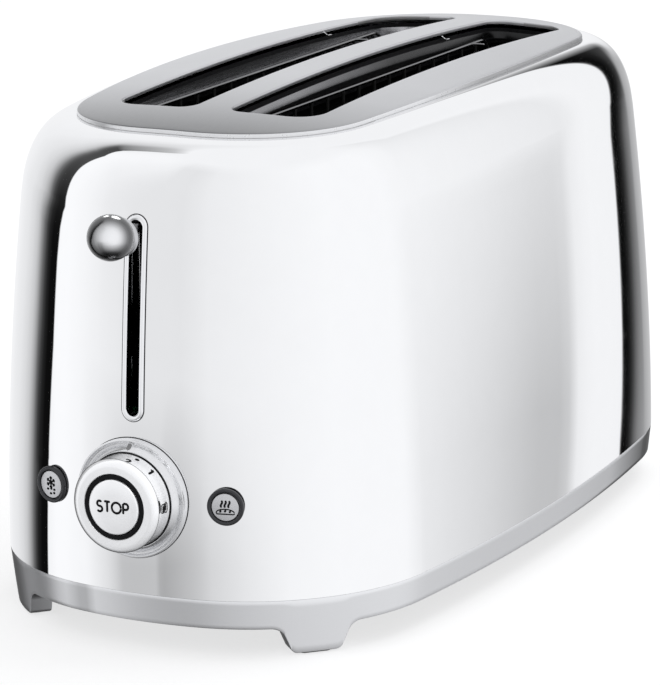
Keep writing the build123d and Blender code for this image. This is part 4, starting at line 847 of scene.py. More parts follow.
def paint_shade_along(material, axis, low, high, stops):
    """Paints shade: multiplies a material's colour by a ramp along one axis, between two places in metres."""
    tree = material.node_tree
    place = add_node(tree, "ShaderNodeTexCoord").outputs["Object"]
    split = add_node(tree, "ShaderNodeSeparateXYZ", place)
    paint_shade(material, spread(tree, split.outputs[axis], low, high, 0, 1), stops)


# Property groups


def length(name, description, default):
    return FloatProperty(name=name, description=description, default=default, unit="LENGTH")


def colour_of(name, description, default):
    return FloatVectorProperty(name=name, description=description, default=default, subtype="COLOR", min=0, max=1)


class ToasterSizes(bpy.types.PropertyGroup):
    """Sizes of the pieces that are made here."""

    half_width: length("Half width", "Half of the body's width at its foot", 0.1023)
    half_length: length("Half length", "Half of the body's length at its foot", 0.1926)
    plate_half_width: length("Plate half width", "Half of the top plate's width", 0.0725)
    plate_half_length: length("Plate half length", "Half of the top plate's length", 0.1577)
    height: length("Height", "Top of the crowned plate over the floor", 0.2153)
    plate_sheet: length("Plate sheet", "Thickness of the top plate", 0.0018)
    shell_sheet: length("Shell sheet", "Thickness of the body shell", 0.001)
    plinth_height: length("Plinth height", "Top edge of the plinth over the floor", 0.0243)
    ball_radius: length("Ball radius", "Radius of the lever's ball grip", 0.0094)
    collar_radius: length("Collar radius", "Radius of the collar behind the ball", 0.008)
    dial_radius: length("Dial radius", "Radius of the dial's skirt at its back", 0.0194)
    bezel_radius: length("Bezel radius", "Outer radius of the dish round the dial", 0.0248)
    stop_radius: length("Stop radius", "Radius of the stop button", 0.0114)
    button_radius: length("Button ring radius", "Outer radius of the defrost and reheat rings", 0.0077)
    mark_width: length("Mark width", "Width of the printed lines", 0.00072)


class ToasterFinishes(bpy.types.PropertyGroup):
    """Colours of the outer pieces."""

    shell_colour: colour_of("Shell", "Reflected colour of the chrome shell", (0.965, 0.968, 0.975))
    plate_colour: colour_of("Plate", "Reflected colour of the satin top plate", (0.655, 0.66, 0.675))
    plinth_colour: colour_of("Plinth", "Reflected colour of the cast plinth", (0.88, 0.885, 0.9))
    ball_colour: colour_of("Ball", "Reflected colour of the dark ball grip", (0.93, 0.935, 0.95))
    dial_colour: colour_of("Dial", "Colour of the satin dial", (0.95, 0.955, 0.97))
    bezel_colour: colour_of("Bezel", "Reflected colour of the dial's dish", (0.85, 0.855, 0.87))
    ring_colour: colour_of("Button rings", "Colour of the dark rings round the buttons", (0.045, 0.046, 0.05))
    cap_colour: colour_of("Button caps", "Colour of the button caps", (0.66, 0.665, 0.68))


class ToasterStudio(bpy.types.PropertyGroup):
    """Floor and light."""

    floor_half: length("Floor", "Half of the floor's width", 4.0)
    floor_colour: colour_of("Floor colour", "Colour of the pale floor", (0.84, 0.845, 0.86))
    room_level: FloatProperty(
        name="Room light", description="Light that comes evenly from all sides", default=0.8, min=0, subtype="FACTOR"
    )
    lamp_power: FloatProperty(
        name="Lamp", description="Power of the large lamp over the object", default=14.0, min=0, unit="POWER"
    )


# Body shell, top plate and plinth

# Distances of the shell's columns from the front middle and from the rear middle, and levels of its rows
FRONT_COLUMNS = np.array([0, 2, 4, 6, 8, 11.5, 15, 18.5, 22, 26, 30, 33.5, 37, BUTTON_WAY, 44.5, 48, 52.0])
REAR_COLUMNS = np.array([0, 9, 18, 27, 36, 45, TRAY_NOTCH_DISTANCE, 60.0])
WALL_ROWS = (31, TRAY_NOTCH_HIGH, 43.5, 49, 54, 59, 64, 69, 74, 79, 85.5, 92, *(92 + 6.5 * np.arange(1, 15)))
# The holes at the front, each with the middle, half width, low and high end of the rectangle that is left out
# of the grid, and with the middle, the two ends of the middle line and the radius of the hole in it
SHELL_HOLES = (
    (0.0, 15.0, 49.0, 79.0, 0.0, DIAL_Z, DIAL_Z, DIAL_HOLE),
    (0.0, 8.0, 92.0, 183.0, 0.0, LEVER_SLOT_LOW + LEVER_SLOT_HALF, LEVER_SLOT_HIGH - LEVER_SLOT_HALF, LEVER_HOLE),
    (41.0, 11.0, 54.0, 74.0, BUTTON_WAY, BUTTON_Z, BUTTON_Z, BUTTON_HOLE),
    (-41.0, 11.0, 54.0, 74.0, -BUTTON_WAY, BUTTON_Z, BUTTON_Z, BUTTON_HOLE),
)


def shell_levels():
    """Levels of the rows: the wall's, then the shoulder's at even angles of its superellipse."""
    foot = mm("plinth_height")
    begun = (rise(WALL_ROWS[-1]) - SHOULDER_START) / (1 - SHOULDER_START)
    angles = np.linspace(math.asin(begun ** (SHOULDER_POWER / 2)), math.pi / 2, 33)[1:]
    rises = SHOULDER_START + (1 - SHOULDER_START) * np.sin(angles) ** (2 / SHOULDER_POWER)
    return np.concatenate([[foot], WALL_ROWS, foot + (rim_height() - foot) * rises])


def shell_columns(totals, middle=150):
    """Distances round each row: fixed near the two middles, evenly spread between them."""
    share = np.linspace(0, 1, middle + 2)[1:-1]
    low, high = FRONT_COLUMNS[-1], totals[:, None] - REAR_COLUMNS[-1]
    front = np.broadcast_to(FRONT_COLUMNS, (len(totals), len(FRONT_COLUMNS)))
    right = np.concatenate([front, low + (high - low) * share, totals[:, None] - REAR_COLUMNS[::-1]], 1)
    return np.concatenate([right, -right[:, 1:-1][:, ::-1]], 1)


def hole_patch(columns, rows, centre, low, high, radius, rings=4):
    """Faces between a rectangle of the shell's grid and a round or slotted hole in it.

    Each point of the rectangle has its foot on the hole's middle line, and its hole point one radius
    from that foot towards it; the rows between are spread evenly from one to the other."""
    outer = [(c, rows[0]) for c in columns] + [(columns[-1], r) for r in rows[1:]]
    outer += [(c, rows[-1]) for c in columns[-2::-1]] + [(columns[0], r) for r in rows[-2:0:-1]]
    outer = np.array(outer, float)
    foot = np.stack([np.full(len(outer), centre), np.clip(outer[:, 1], low, high)], -1)
    inner = foot + radius * unit(outer - foot)
    spots = outer + (inner - outer) * np.linspace(0, 1, rings + 1)[:, None, None]
    return patch(body_point(spots[..., 0], spots[..., 1]), closed=True)


class TOASTER_OT_body_shell(bpy.types.Operator):
    """Polished body shell with its openings"""

    bl_idname = "toaster.body_shell"
    bl_label = "Body shell"

    def execute(self, context):
        levels = shell_levels()
        totals = half_length_round(size_at(rise(levels))[0])
        distances = shell_columns(totals)
        points = body_point(distances, levels[:, None])
        step = np.roll(distances[0], -1) - distances[0]
        step -= 2 * totals[0] * np.round(step / (2 * totals[0]))
        middles = distances[0] + step / 2
        centres = (levels[:-1] + levels[1:]) / 2
        signed = np.concatenate([-FRONT_COLUMNS[:0:-1], FRONT_COLUMNS])
        notch = (np.abs(middles) > totals[0] - TRAY_NOTCH_DISTANCE)[None] & (centres < TRAY_NOTCH_HIGH)[:, None]
        keep = ~notch
        patches = []
        for middle, half, low, high, *hole in SHELL_HOLES:
            keep &= ~((np.abs(middles - middle) < half)[None] & ((centres > low) & (centres < high))[:, None])
            across = signed[(signed >= middle - half - 0.01) & (signed <= middle + half + 0.01)]
            up = levels[(levels >= low - 0.01) & (levels <= high + 0.01)]
            patches.append(hole_patch(across, up, *hole))
        flange = plate_size(-RIM_FLANGE)
        rim = outline(flange, distances[-1] * half_length_round(flange) / totals[-1])
        rim_z = plate_under() - plate_size()[1] ** 2 / (2 * CROWN_ALONG) - RIM_DEPTH
        edge = np.stack([*rim, np.full(len(middles), rim_z)], -1)
        patches.append(patch(points, closed=True, keep=keep))
        patches.append(patch(np.stack([points[-1], (points[-1] + edge) / 2, edge]), closed=True))
        sheet = mm("shell_sheet")
        make_piece("body_shell", patches, "polished_chrome", "body", ["outer_shell"], wall=sheet)
        return {"FINISHED"}


def slot_contour(grow, counts):
    """Right bread slot's contour in four sections: front, outer side, rear and inner side."""
    inner, outer = SLOT_INNER_X - grow, SLOT_OUTER_X + grow
    front, rear = SLOT_FRONT_Y - grow, SLOT_REAR_Y + grow
    corners = np.array([(inner, front), (outer, front + SLOT_END_BOW), (outer, rear - SLOT_END_BOW), (inner, rear)])
    arcs = [rounded_corner(corners[i], corners[i - 1], corners[i - 3], SLOT_CORNERS[i] + grow) for i in range(4)]
    lines = [np.concatenate([arcs[i][8:], arcs[i - 3][:9]]) for i in range(4)]
    return np.concatenate([evenly(line, count + 1)[:-1] for line, count in zip(lines, counts)])


def plate_loop(inset, counts):
    """Right half of the plate's edge in the same four sections, the last along the middle line."""
    size = plate_size(-inset)
    total, corner = half_length_round(size), corner_distance(size)
    ways = [(0.0, corner), (corner, total - corner), (total - corner, total)]
    distance = np.concatenate([np.linspace(*way, count + 1)[:-1] for way, count in zip(ways, counts)])
    middle = np.linspace(size[1], -size[1], counts[3] + 1)[:-1]
    return np.concatenate([np.stack(outline(size, distance), -1), np.stack([0 * middle, middle], -1)])


# Section of the seal between plate and shell: inset from the plate's outline, and drop below its top
SEAL_SECTION = ((0.12, 1.7), (1.4, 1.7), (1.4, 2.3), (0.12, 2.3), (0.12, 1.7))


def lifted(flat, drop):
    """Points of a flat drawing put on the crowned plate, less a drop."""
    z = mm("height") - crown_fall(flat[..., 0], flat[..., 1]) - drop
    return np.concatenate([flat, z[..., None]], -1)


class TOASTER_OT_top_plate(bpy.types.Operator):
    """Crowned satin plate with two bread slots and rolled edges, and the seal under it"""

    bl_idname = "toaster.top_plate"
    bl_label = "Top plate"

    def execute(self, context):
        counts = (34, 96, 34, 96)
        sheet = mm("plate_sheet")
        share = np.linspace(0, 1, 11)[:, None, None]
        upper, lower = (
            lifted(slot_contour(inset, counts) * (1 - share) + plate_loop(inset, counts) * share, drop)
            for inset, drop in ((EDGE_ROLL, 0.0), (0.0, sheet))
        )
        rolls = [*arc((EDGE_ROLL, EDGE_ROLL), EDGE_ROLL, -90, -180, 6), (0.0, sheet)]
        slot = np.stack([lifted(slot_contour(inset, counts), drop) for inset, drop in rolls[::-1]])
        rim = sum(counts[:3]) + 1
        edge = np.stack([lifted(plate_loop(inset, counts), drop)[:rim] for inset, drop in rolls])
        patches = []
        for mirror in (1, -1):
            patches += [patch(grid * (mirror, 1, 1), closed=True) for grid in (upper, lower[::-1], slot)]
            patches.append(patch(edge * (mirror, 1, 1)))
        half_width, half_length = plate_size()[:2]

        def outer_edge(middles):
            """Faces that stand within the roll of the plate's outline."""
            x, y = middles[:, 0], middles[:, 1]
            level = mm("height") - crown_fall(x, y) - middles[:, 2]
            outer = (np.abs(x) / half_width) ** 2 + (np.abs(y) / half_length) ** 2 > 0.9
            return outer & (level > 0.3) & (level < sheet + 6)

        # The rolled edge gets its own, lighter tone of the plate's sheet: painted light
        others = [("lit_plate_edge", outer_edge)]
        make_piece("slotted_plate", patches, "satin_plate", "body", ["top_plate"], others=others)
        # The plate's colour is darkened along its length, most at its front end: painted shade
        centre, half = SHIFT_Y / 1000, settings().plate_half_length
        paint_shade_along(make_material("satin_plate"), 1, centre - half, centre + half, PLATE_PAINTED_SHADE)
        rows = []
        for inset, drop in SEAL_SECTION:
            size = plate_size(-inset)
            distance = half_length_round(size) * np.linspace(-1, 1, 321)[:-1]
            rows.append(lifted(np.stack(outline(size, distance), -1), drop))
        make_piece("plate_seal", [patch(np.stack(rows), closed=True)], "pale_seal", "body")
        return {"FINISHED"}


def foot_line():
    """Lower edge of one foot seen along its normal: across and up, its corners rounded."""
    right = [(22.5, PLINTH_EDGE), (15.0, PLINTH_EDGE), (10.2, FOOT_BOTTOM)]
    points = np.array(right + [(-x, z) for x, z in right[::-1]])
    line = [points[:1]]
    for i, radius in enumerate((6.5, 3.0, 3.0, 6.5)):
        line.append(rounded_corner(points[i + 1], points[i], points[i + 2], radius, 13))
    line = np.concatenate([*line, points[-1:]])[::-1]
    flat = np.linspace(-8, 8, 7)[1:-1]
    return np.insert(line, np.searchsorted(line[:, 0], 0), np.stack([flat, np.full(5, FOOT_BOTTOM)], -1), axis=0)


class TOASTER_OT_plinth(bpy.types.Operator):
    """Cast band with four flared feet"""

    bl_idname = "toaster.plinth"
    bl_label = "Plinth"

    def execute(self, context):
        line = foot_line()
        front_steps, side_steps = 12, 60
        front = slice(0, front_steps)
        near = slice(front.stop, front.stop + len(line))
        side = slice(near.stop, near.stop + side_steps)
        far = slice(side.stop, side.stop + len(line))
        rear = slice(far.stop, far.stop + front_steps + 1)
        across, thick = np.zeros(rear.stop), np.zeros(rear.stop)
        low, top = np.full(rear.stop, PLINTH_EDGE), np.full(rear.stop, mm("plinth_height"))
        across[near], across[far] = line[:, 0], -line[::-1, 0]
        low[near], low[far] = line[:, 1], line[::-1, 1]
        thick[near] = np.abs(line[:, 0]) < 21.4
        thick[far] = thick[near][::-1]

        def ring(z, inset):
            """Points round the right half of the drafted band at a height and an inset for each column."""
            size = body_size() - (PLINTH_DRAFT * (1 - z / top) + inset)[:, None]
            total, corner, radius = half_length_round(size), corner_distance(size), size[:, 4]
            swing = radius * np.arcsin(across / radius)
            distance = corner + swing
            distance[far] = (total - corner + swing)[far]
            distance[front] = np.linspace(0, 1, front_steps + 1)[:-1] * distance[near.start]
            start, end = distance[near.stop - 1], distance[far.start]
            distance[side] = start + np.linspace(0, 1, side_steps + 2)[1:-1] * (end - start)
            last = distance[far.stop - 1]
            distance[rear] = last + (total[rear] - last) * np.linspace(0, 1, front_steps + 2)[1:]
            return np.stack([*outline(size, distance), z], -1)

        bevel, (away, inset_by) = PLINTH_BEVEL, PLINTH_FACETS
        deep = PLINTH_WALL + (FOOT_THICKNESS - PLINTH_WALL) * thick
        shelf = np.where(thick > 0, FOOT_TOP, low + 1.0)
        sections = [(top, bevel), (top - away, inset_by), (top - bevel, 0.0)]
        sections += [(top - bevel + (low + bevel - top + bevel) * share, 0.0) for share in np.linspace(0, 1, 9)[1:]]
        sections += [(low + away, inset_by), (low, bevel), (low, deep - bevel), (low + away, deep - inset_by)]
        sections += [(low + bevel, deep), (shelf, deep), (shelf, PLINTH_WALL), (top, PLINTH_WALL), (top, bevel)]
        right = np.stack([ring(z, inset + 0 * top) for z, inset in sections[::-1]])
        # The plinth's sides get their own copy of its finish, with a different painted dark outline: painted shade
        others = [("satin_flank", lambda middles: middles[:, 1] > FLANK_START_Y)]
        patches = [patch(right), patch(right * (-1, 1, 1))]
        make_piece("plinth_band", patches, "satin_casting", "body", ["plinth"], others=others)
        return {"FINISHED"}


# Lever

# Sections of the trim ring and of the black seal round the lever slot, whose black is a painted shadow line: offset
# from the slot, and height
TRIM_SECTION = (
    (2.3, 0.0), (2.3, 0.35), (2.15, 0.7), (1.8, 0.93), (1.25, 1.0), (0.7, 0.92), (0.25, 0.68), (0.03, 0.3),
    (0.0, -0.1), (0.0, -4.0), (1.3, -4.0), (1.3, 0.0), (2.3, 0.0),
)
SHADOW_SEAL_SECTION = ((2.62, 0.0), (2.62, 0.1), (2.5, 0.22), (2.2, 0.22), (2.2, 0.0), (2.62, 0.0))


def stadium_path(offset):
    """Closed line round the lever slot at an offset: two half circles joined by straight sides."""
    radius = LEVER_SLOT_HALF + offset
    low, high = LEVER_SLOT_LOW + LEVER_SLOT_HALF, LEVER_SLOT_HIGH - LEVER_SLOT_HALF
    over, under = arc((0, high), radius, 0, 180, 40), arc((0, low), radius, 180, 360, 40)
    down = straight((-radius, high), (-radius, low), counts=26)[1:-1]
    return np.concatenate([over, down, under, down[::-1] * (-1, 1)])


class TOASTER_OT_lever(bpy.types.Operator):
    """Ball grip, collar and stem, and the bright ring round the lever slot"""

    bl_idname = "toaster.lever"
    bl_label = "Lever"

    def execute(self, context):
        self.grip()
        self.stem()
        for name, section, finish, slot, nodes in (
            ("lever_slot_ring", TRIM_SECTION, "bright_plating", "bright_collar", ["lever_trim"]),
            # The black seal round the lever slot is a painted shadow line
            ("lever_slot_shadow_seal", SHADOW_SEAL_SECTION, "shadow_line_black", "black_moulding", []),
        ):
            rows = [on_front(stadium_path(offset), out) for offset, out in section]
            make_piece(name, [patch(np.stack(rows), closed=True)], finish, "body", nodes)
        return {"FINISHED"}

    def grip(self):
        """Ball with a flat back, and under its middle the round collar."""
        radius, collar = mm("ball_radius"), mm("collar_radius")
        centre_y = float(front_face(0.0, LEVER_Z)) - BALL_STAND_OFF
        edge = math.sqrt(radius**2 - BALL_FLAT**2)
        limit = math.degrees(math.acos(-BALL_FLAT / radius))
        back = [(edge + 0.02, 0.3 - BALL_FLAT), (edge - 0.35, -BALL_FLAT), (0.0, -BALL_FLAT)]
        profile = np.concatenate([arc((0, 0), radius, 90, 90 - limit, 41)[:-1], back])

        def at_ball(drop):
            return lambda across, out, up: np.stack([across, centre_y - out, LEVER_Z - drop + up], -1)

        patches = [turned(profile, at_ball(0.0))]
        # The ball's bright middle and dark ring are a painted reflection, by facing
        ball = make_piece("ball_grip", patches, "dark_satin_ball", "carriage", ["lever_ball"])
        ball.visible_glossy = False
        rounding, behind = COLLAR_ROUNDING, -BALL_FLAT - COLLAR_THICKNESS
        front = arc((collar - rounding, -BALL_FLAT - rounding), rounding, 90, 0, 6)
        rear = arc((collar - rounding, behind + rounding), rounding, 0, -90, 6)
        patches = [turned([(0, -BALL_FLAT), *front, *rear, (0, behind)], at_ball(COLLAR_DROP))]
        # The collar is darkened as painted shade
        ring = make_piece("grip_collar", patches, "shaded_collar_plating", "carriage", ["lever_collar"])
        ring.visible_glossy = False

    def stem(self):
        """Bar of a rounded section, a superellipse, with its ends bevelled."""
        low, high = (1000 * np.array(corner) - (0, SHIFT_Y, 0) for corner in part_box("lever_arm"))
        section = circle(full_turn(32))
        section = np.sign(section) * np.abs(section) ** 0.35 * (high[0], 0.5 * (high[2] - low[2]))
        rows = []
        for y, share in (
            (low[1], 0.0), (low[1], 0.93), (low[1] + 0.3, 1.0), (high[1] - 0.3, 1.0), (high[1], 0.93), (high[1], 0.0)
        ):
            x, z = share * section.T
            rows.append(np.stack([x, 0 * x + y, LEVER_Z + z], -1))
        patches = [patch(np.stack(rows), closed=True)]
        stem = make_piece("lever_stem", patches, "dark_satin_ball", "carriage", ["lever_arm"])
        stem.visible_glossy = False


# Dial

DIAL_STEPS = 128
# Profiles of radius and height: the dish's rim (from its outer radius), its cone and back, and the black neck; the
# neck, and the seal at the dish's foot, are black as painted shadow in the gaps round the dial
DISH_RIM = ((0.0, np.nan), (0.0, 1.45), (-0.12, 1.75), (-0.4, 1.9), (-0.8, 1.9), (-0.95, 1.86))
DISH_CONE = (
    (22.3, 0.97), (22.05, 1.25), (21.0, 2.55), (20.45, 3.23), (20.2, 3.4), (19.95, 3.4), (19.9, 3.3), (19.9, 0.8),
    (7.0, 0.8), (6.6, 0.6), (6.6, np.nan),
)
DISH_SHADOW_SEAL = ((0.28, 0.0), (0.28, 0.08), (0.18, 0.16), (-0.1, 0.16), (-0.1, 0.0), (0.28, 0.0))
DIAL_NECK = ((17.0, 0.85), (19.85, 0.85), (19.85, 2.9), (19.6, 3.1), (17.0, 3.1), (17.0, 0.85))


def cone_out(radius):
    """Height of the bezel's inner cone: a straight rule from its foot to its crest."""
    return CONE_FOOT_OUT + CONE_RISE * np.clip((CONE_FOOT_RADIUS - radius) / CONE_RUN, 0, 1)


def skirt_radius(out):
    """Radius of the skirt, which narrows in a straight line from its rear edge to the groove."""
    return mm("dial_radius") - SKIRT_TAPER * (out - SKIRT_BACK) / (DIAL_GROOVE - SKIRT_BACK)


def on_skirt(turn, middle=7.4):
    """Surface that wraps a drawing round the skirt, its top towards the shell, turned clockwise from the top."""

    def wrap(across, up, height):
        angle = math.radians(turn) + across / mm("dial_radius")
        radius = skirt_radius(middle - up) + height
        return on_dial(radius * np.sin(angle), middle - up, radius * np.cos(angle))

    return wrap


def on_stop(across, up, height):
    """Surface of the slightly domed stop button."""
    return on_dial(across, STOP_FACE - 0.05 * np.clip(np.hypot(across, up) / 10.7, 0, 1) ** 2 + height, up)


def on_cone(across, up, height):
    """Surface of the bezel's inner cone, at the top."""
    return on_dial(across, cone_out(up) + 0.5 * height, up + 0.85 * height)


class TOASTER_OT_dial(bpy.types.Operator):
    """Browning dial with its dish, skirt, rings, stop button and printed marks"""

    bl_idname = "toaster.dial"
    bl_label = "Dial"

    def execute(self, context):
        self.dish()
        self.rings()
        self.stop_button()
        self.marks()
        return {"FINISHED"}

    def dish(self):
        """Dish round the dial with a rounded trough and a cone, its seal and the black neck behind the skirt; seal and
        neck are black as painted shadow.
        """
        bezel = mm("bezel_radius")
        trough = arc((22.75, 1.78), (1.1, 0.83), 0, -90, 11)
        profile = [*((bezel + more, out) for more, out in DISH_RIM), *trough, *DISH_CONE, (bezel, np.nan)]
        patches = [turned(profile, on_dial, DIAL_STEPS)]
        make_piece("dial_dish", patches, "bezel_satin", "body", ["dial_bezel"])
        round_dial = circle(full_turn(DIAL_STEPS))
        rows = [on_front((bezel + more) * round_dial + (0, DIAL_Z), out) for more, out in DISH_SHADOW_SEAL]
        patches = [patch(np.stack(rows), closed=True), turned(DIAL_NECK, on_dial, DIAL_STEPS)]
        make_piece("dial_shadow_ring", patches, "shadow_line_black", "body")

    def rings(self):
        """Skirt, rounded front ring with a groove behind it, and the black ring inside it."""
        dial, stop = mm("dial_radius"), mm("stop_radius")
        joint, crest, groove, wide = DIAL_JOINT, DIAL_CREST, DIAL_GROOVE, dial + DIAL_FLARE
        skirt = [(2.9, -14.8), (2.9, 5.5), (dial - 1.8, 5.5), (dial - 1.8, joint)]
        skirt += [(skirt_radius(out), out) for out in np.linspace(joint, 4.1, 6)]
        skirt += [(dial - 0.2, 3.92), (6.5, SKIRT_BACK), (6.5, -14.8), (2.9, -14.8)]
        patches = [turned(skirt, on_dial, DIAL_STEPS)]
        make_piece("dial_cup", patches, "pale_dial_metal", "dial", ["dial_skirt"])
        ring = [(13.6, joint), (13.6, DIAL_FRONT - 0.25), (13.85, DIAL_FRONT)]
        ring += [*arc((16.3, crest), (wide - 16.3, DIAL_FRONT - crest), 90, 0, 15)]
        ring += [(wide - 0.08, crest - 0.35), (wide - 0.35, crest - 0.62), (dial - 0.55, crest - 0.68)]
        ring += [(dial - 0.6, groove + 0.12), (skirt_radius(groove) - 0.03, groove)]
        ring += [(skirt_radius(out), out) for out in np.linspace(groove - 0.1, joint, 4)] + [(13.6, joint)]

        # The groove's faces behind the ring are black: painted shadow of the ring on the skirt
        def in_groove_shadow(middles):
            out, radius = face_y() - middles[:, 1], np.hypot(middles[:, 0], middles[:, 2] - DIAL_Z)
            return (out > groove + 0.02) & (out < crest - 0.5) & (radius > dial - 0.9) & (radius < dial + 0.05)

        def behind_groove(middles):
            return face_y() - middles[:, 1] < groove + 0.02

        patches = [turned(ring, on_dial, DIAL_STEPS)]
        others = [("shadow_line_black", in_groove_shadow), ("pale_dial_metal", behind_groove)]
        nodes = ["dial_ring"]
        make_piece("dial_front_ring", patches, "rounded_dial_metal", "dial", nodes, others=others)
        band = [(stop + 0.3, 6.9), (stop + 0.3, 15.1), (stop + 0.5, 15.3), (13.3, 15.3), (13.5, 15.1)]
        band += [(13.5, 8.8), (17.4, 8.8), (17.4, 6.9), (stop + 0.3, 6.9)]
        patches = [turned(band, on_dial, DIAL_STEPS)]
        make_piece("dial_black_ring", patches, "black_gloss_ring", "dial", ["dial_insert"])

    def stop_button(self):
        """Stop button with its word."""
        stop, width = mm("stop_radius"), mm("mark_width")
        button = [(0, STOP_FACE), (5.0, 15.59), (stop - 0.7, 15.54), (stop - 0.35, 15.45), (stop - 0.08, 15.22)]
        button += [(stop, 14.9), (stop, 9.6), (2.6, 9.6), (2.6, -13.4), (0, -13.4)]
        patches = [turned(button, on_dial, DIAL_STEPS)]
        make_piece("stop_cap", patches, "pale_dial_metal", "stop_button", ["stop_button"])
        letters = [stroke(line, width * 1.35, on_stop) for line in stop_word()]
        make_piece("stop_letters", letters, "printed_black", "stop_button")

    def marks(self):
        """Numbers with a dash between them and the toast icon on the skirt, and the tick on the cone."""
        width = mm("mark_width")
        marks = []
        for number, line in enumerate(DIGITS):
            place = on_skirt(12.5, 11.0) if number == 1 else on_skirt(FIRST_SETTING - SETTING_STEP * number)
            marks.append(stroke(line * 1.2, width * 1.4, place))
            if number < 5:
                dash = on_skirt(FIRST_DASH - SETTING_STEP * number, 6.3)
                marks.append(stroke(straight((0, -0.9), (0, 0.9)), 2.2, dash))
        for line, share in zip(toast_icon(), (0.7, 1.3, 1.3, 1.3)):
            marks.append(stroke(line * (1.15, 1.2), width * share, on_skirt(90.0, 8.0)))
        bow = np.linspace(-1, 1, 15)
        marks.append(stroke(np.stack([2.7 * bow, 0.5 * (1 - bow**2)], -1), 1.1, on_skirt(86.0, 11.5)))
        make_piece("dial_marks", marks, "printed_black", "dial")
        tick = stroke(straight((0, 20.6), (0, 22.9), counts=25), 1.9, on_cone, low=-0.1, high=0.12)
        make_piece("dial_tick", [tick], "grey_tick", "body")


class TOASTER_OT_buttons(bpy.types.Operator):
    """Defrost and reheat buttons with their rings and icons"""

    bl_idname = "toaster.buttons"
    bl_label = "Buttons"

    def execute(self, context):
        radius, width = mm("button_radius"), mm("mark_width")
        bore = radius - 1.7
        cap = bore - 0.3
        inner = radius - 0.7
        ring = [(radius, np.nan), *arc((inner, 0.6), 0.7, 0, 90, 7), (bore + 0.35, 1.22), (bore + 0.08, 1.02)]
        ring += [(bore, 0.7), (bore, -6.0), (inner, -6.0), (inner, np.nan), (radius, np.nan)]
        face = [(0, CAP_FACE), (cap - 0.45, CAP_FACE), (cap - 0.12, 0.8), (cap, 0.5), (cap, -6.0), (2.0, -6.0)]
        face += [(2.0, -10.5), (0, -10.5)]
        arms, drops = snowflake_icon()
        heat, loaf, cuts = warm_icon()
        icons = (
            ("defrost", -1, ([line * 1.35 - (0, 0.25) for line in arms], 1.1), ([line * 1.3 for line in drops], 2.0)),
            ("reheat", 1, ([1.25 * line for line in heat], 1.2), ([1.25 * loaf], 0.7), ([1.25 * c for c in cuts], 1.8)),
        )
        for name, side, *drawings in icons:
            place, body = button_place(side), f"{name}_button"
            patches = [turned(ring, place, 72)]
            make_piece(f"{name}_surround", patches, "dark_ring", "body", [f"{name}_ring"])
            make_piece(f"{name}_cap", [turned(face, place, 72)], "button_satin", body, [f"{name}_button"])

            def on_cap(across, up, height, place=place):
                return place(across, CAP_FACE + height, up)

            icon = [stroke(line, width * share, on_cap) for lines, share in drawings for line in lines]
            make_piece(f"{name}_icon", icon, "printed_black", body)
        return {"FINISHED"}


# Toasting chamber


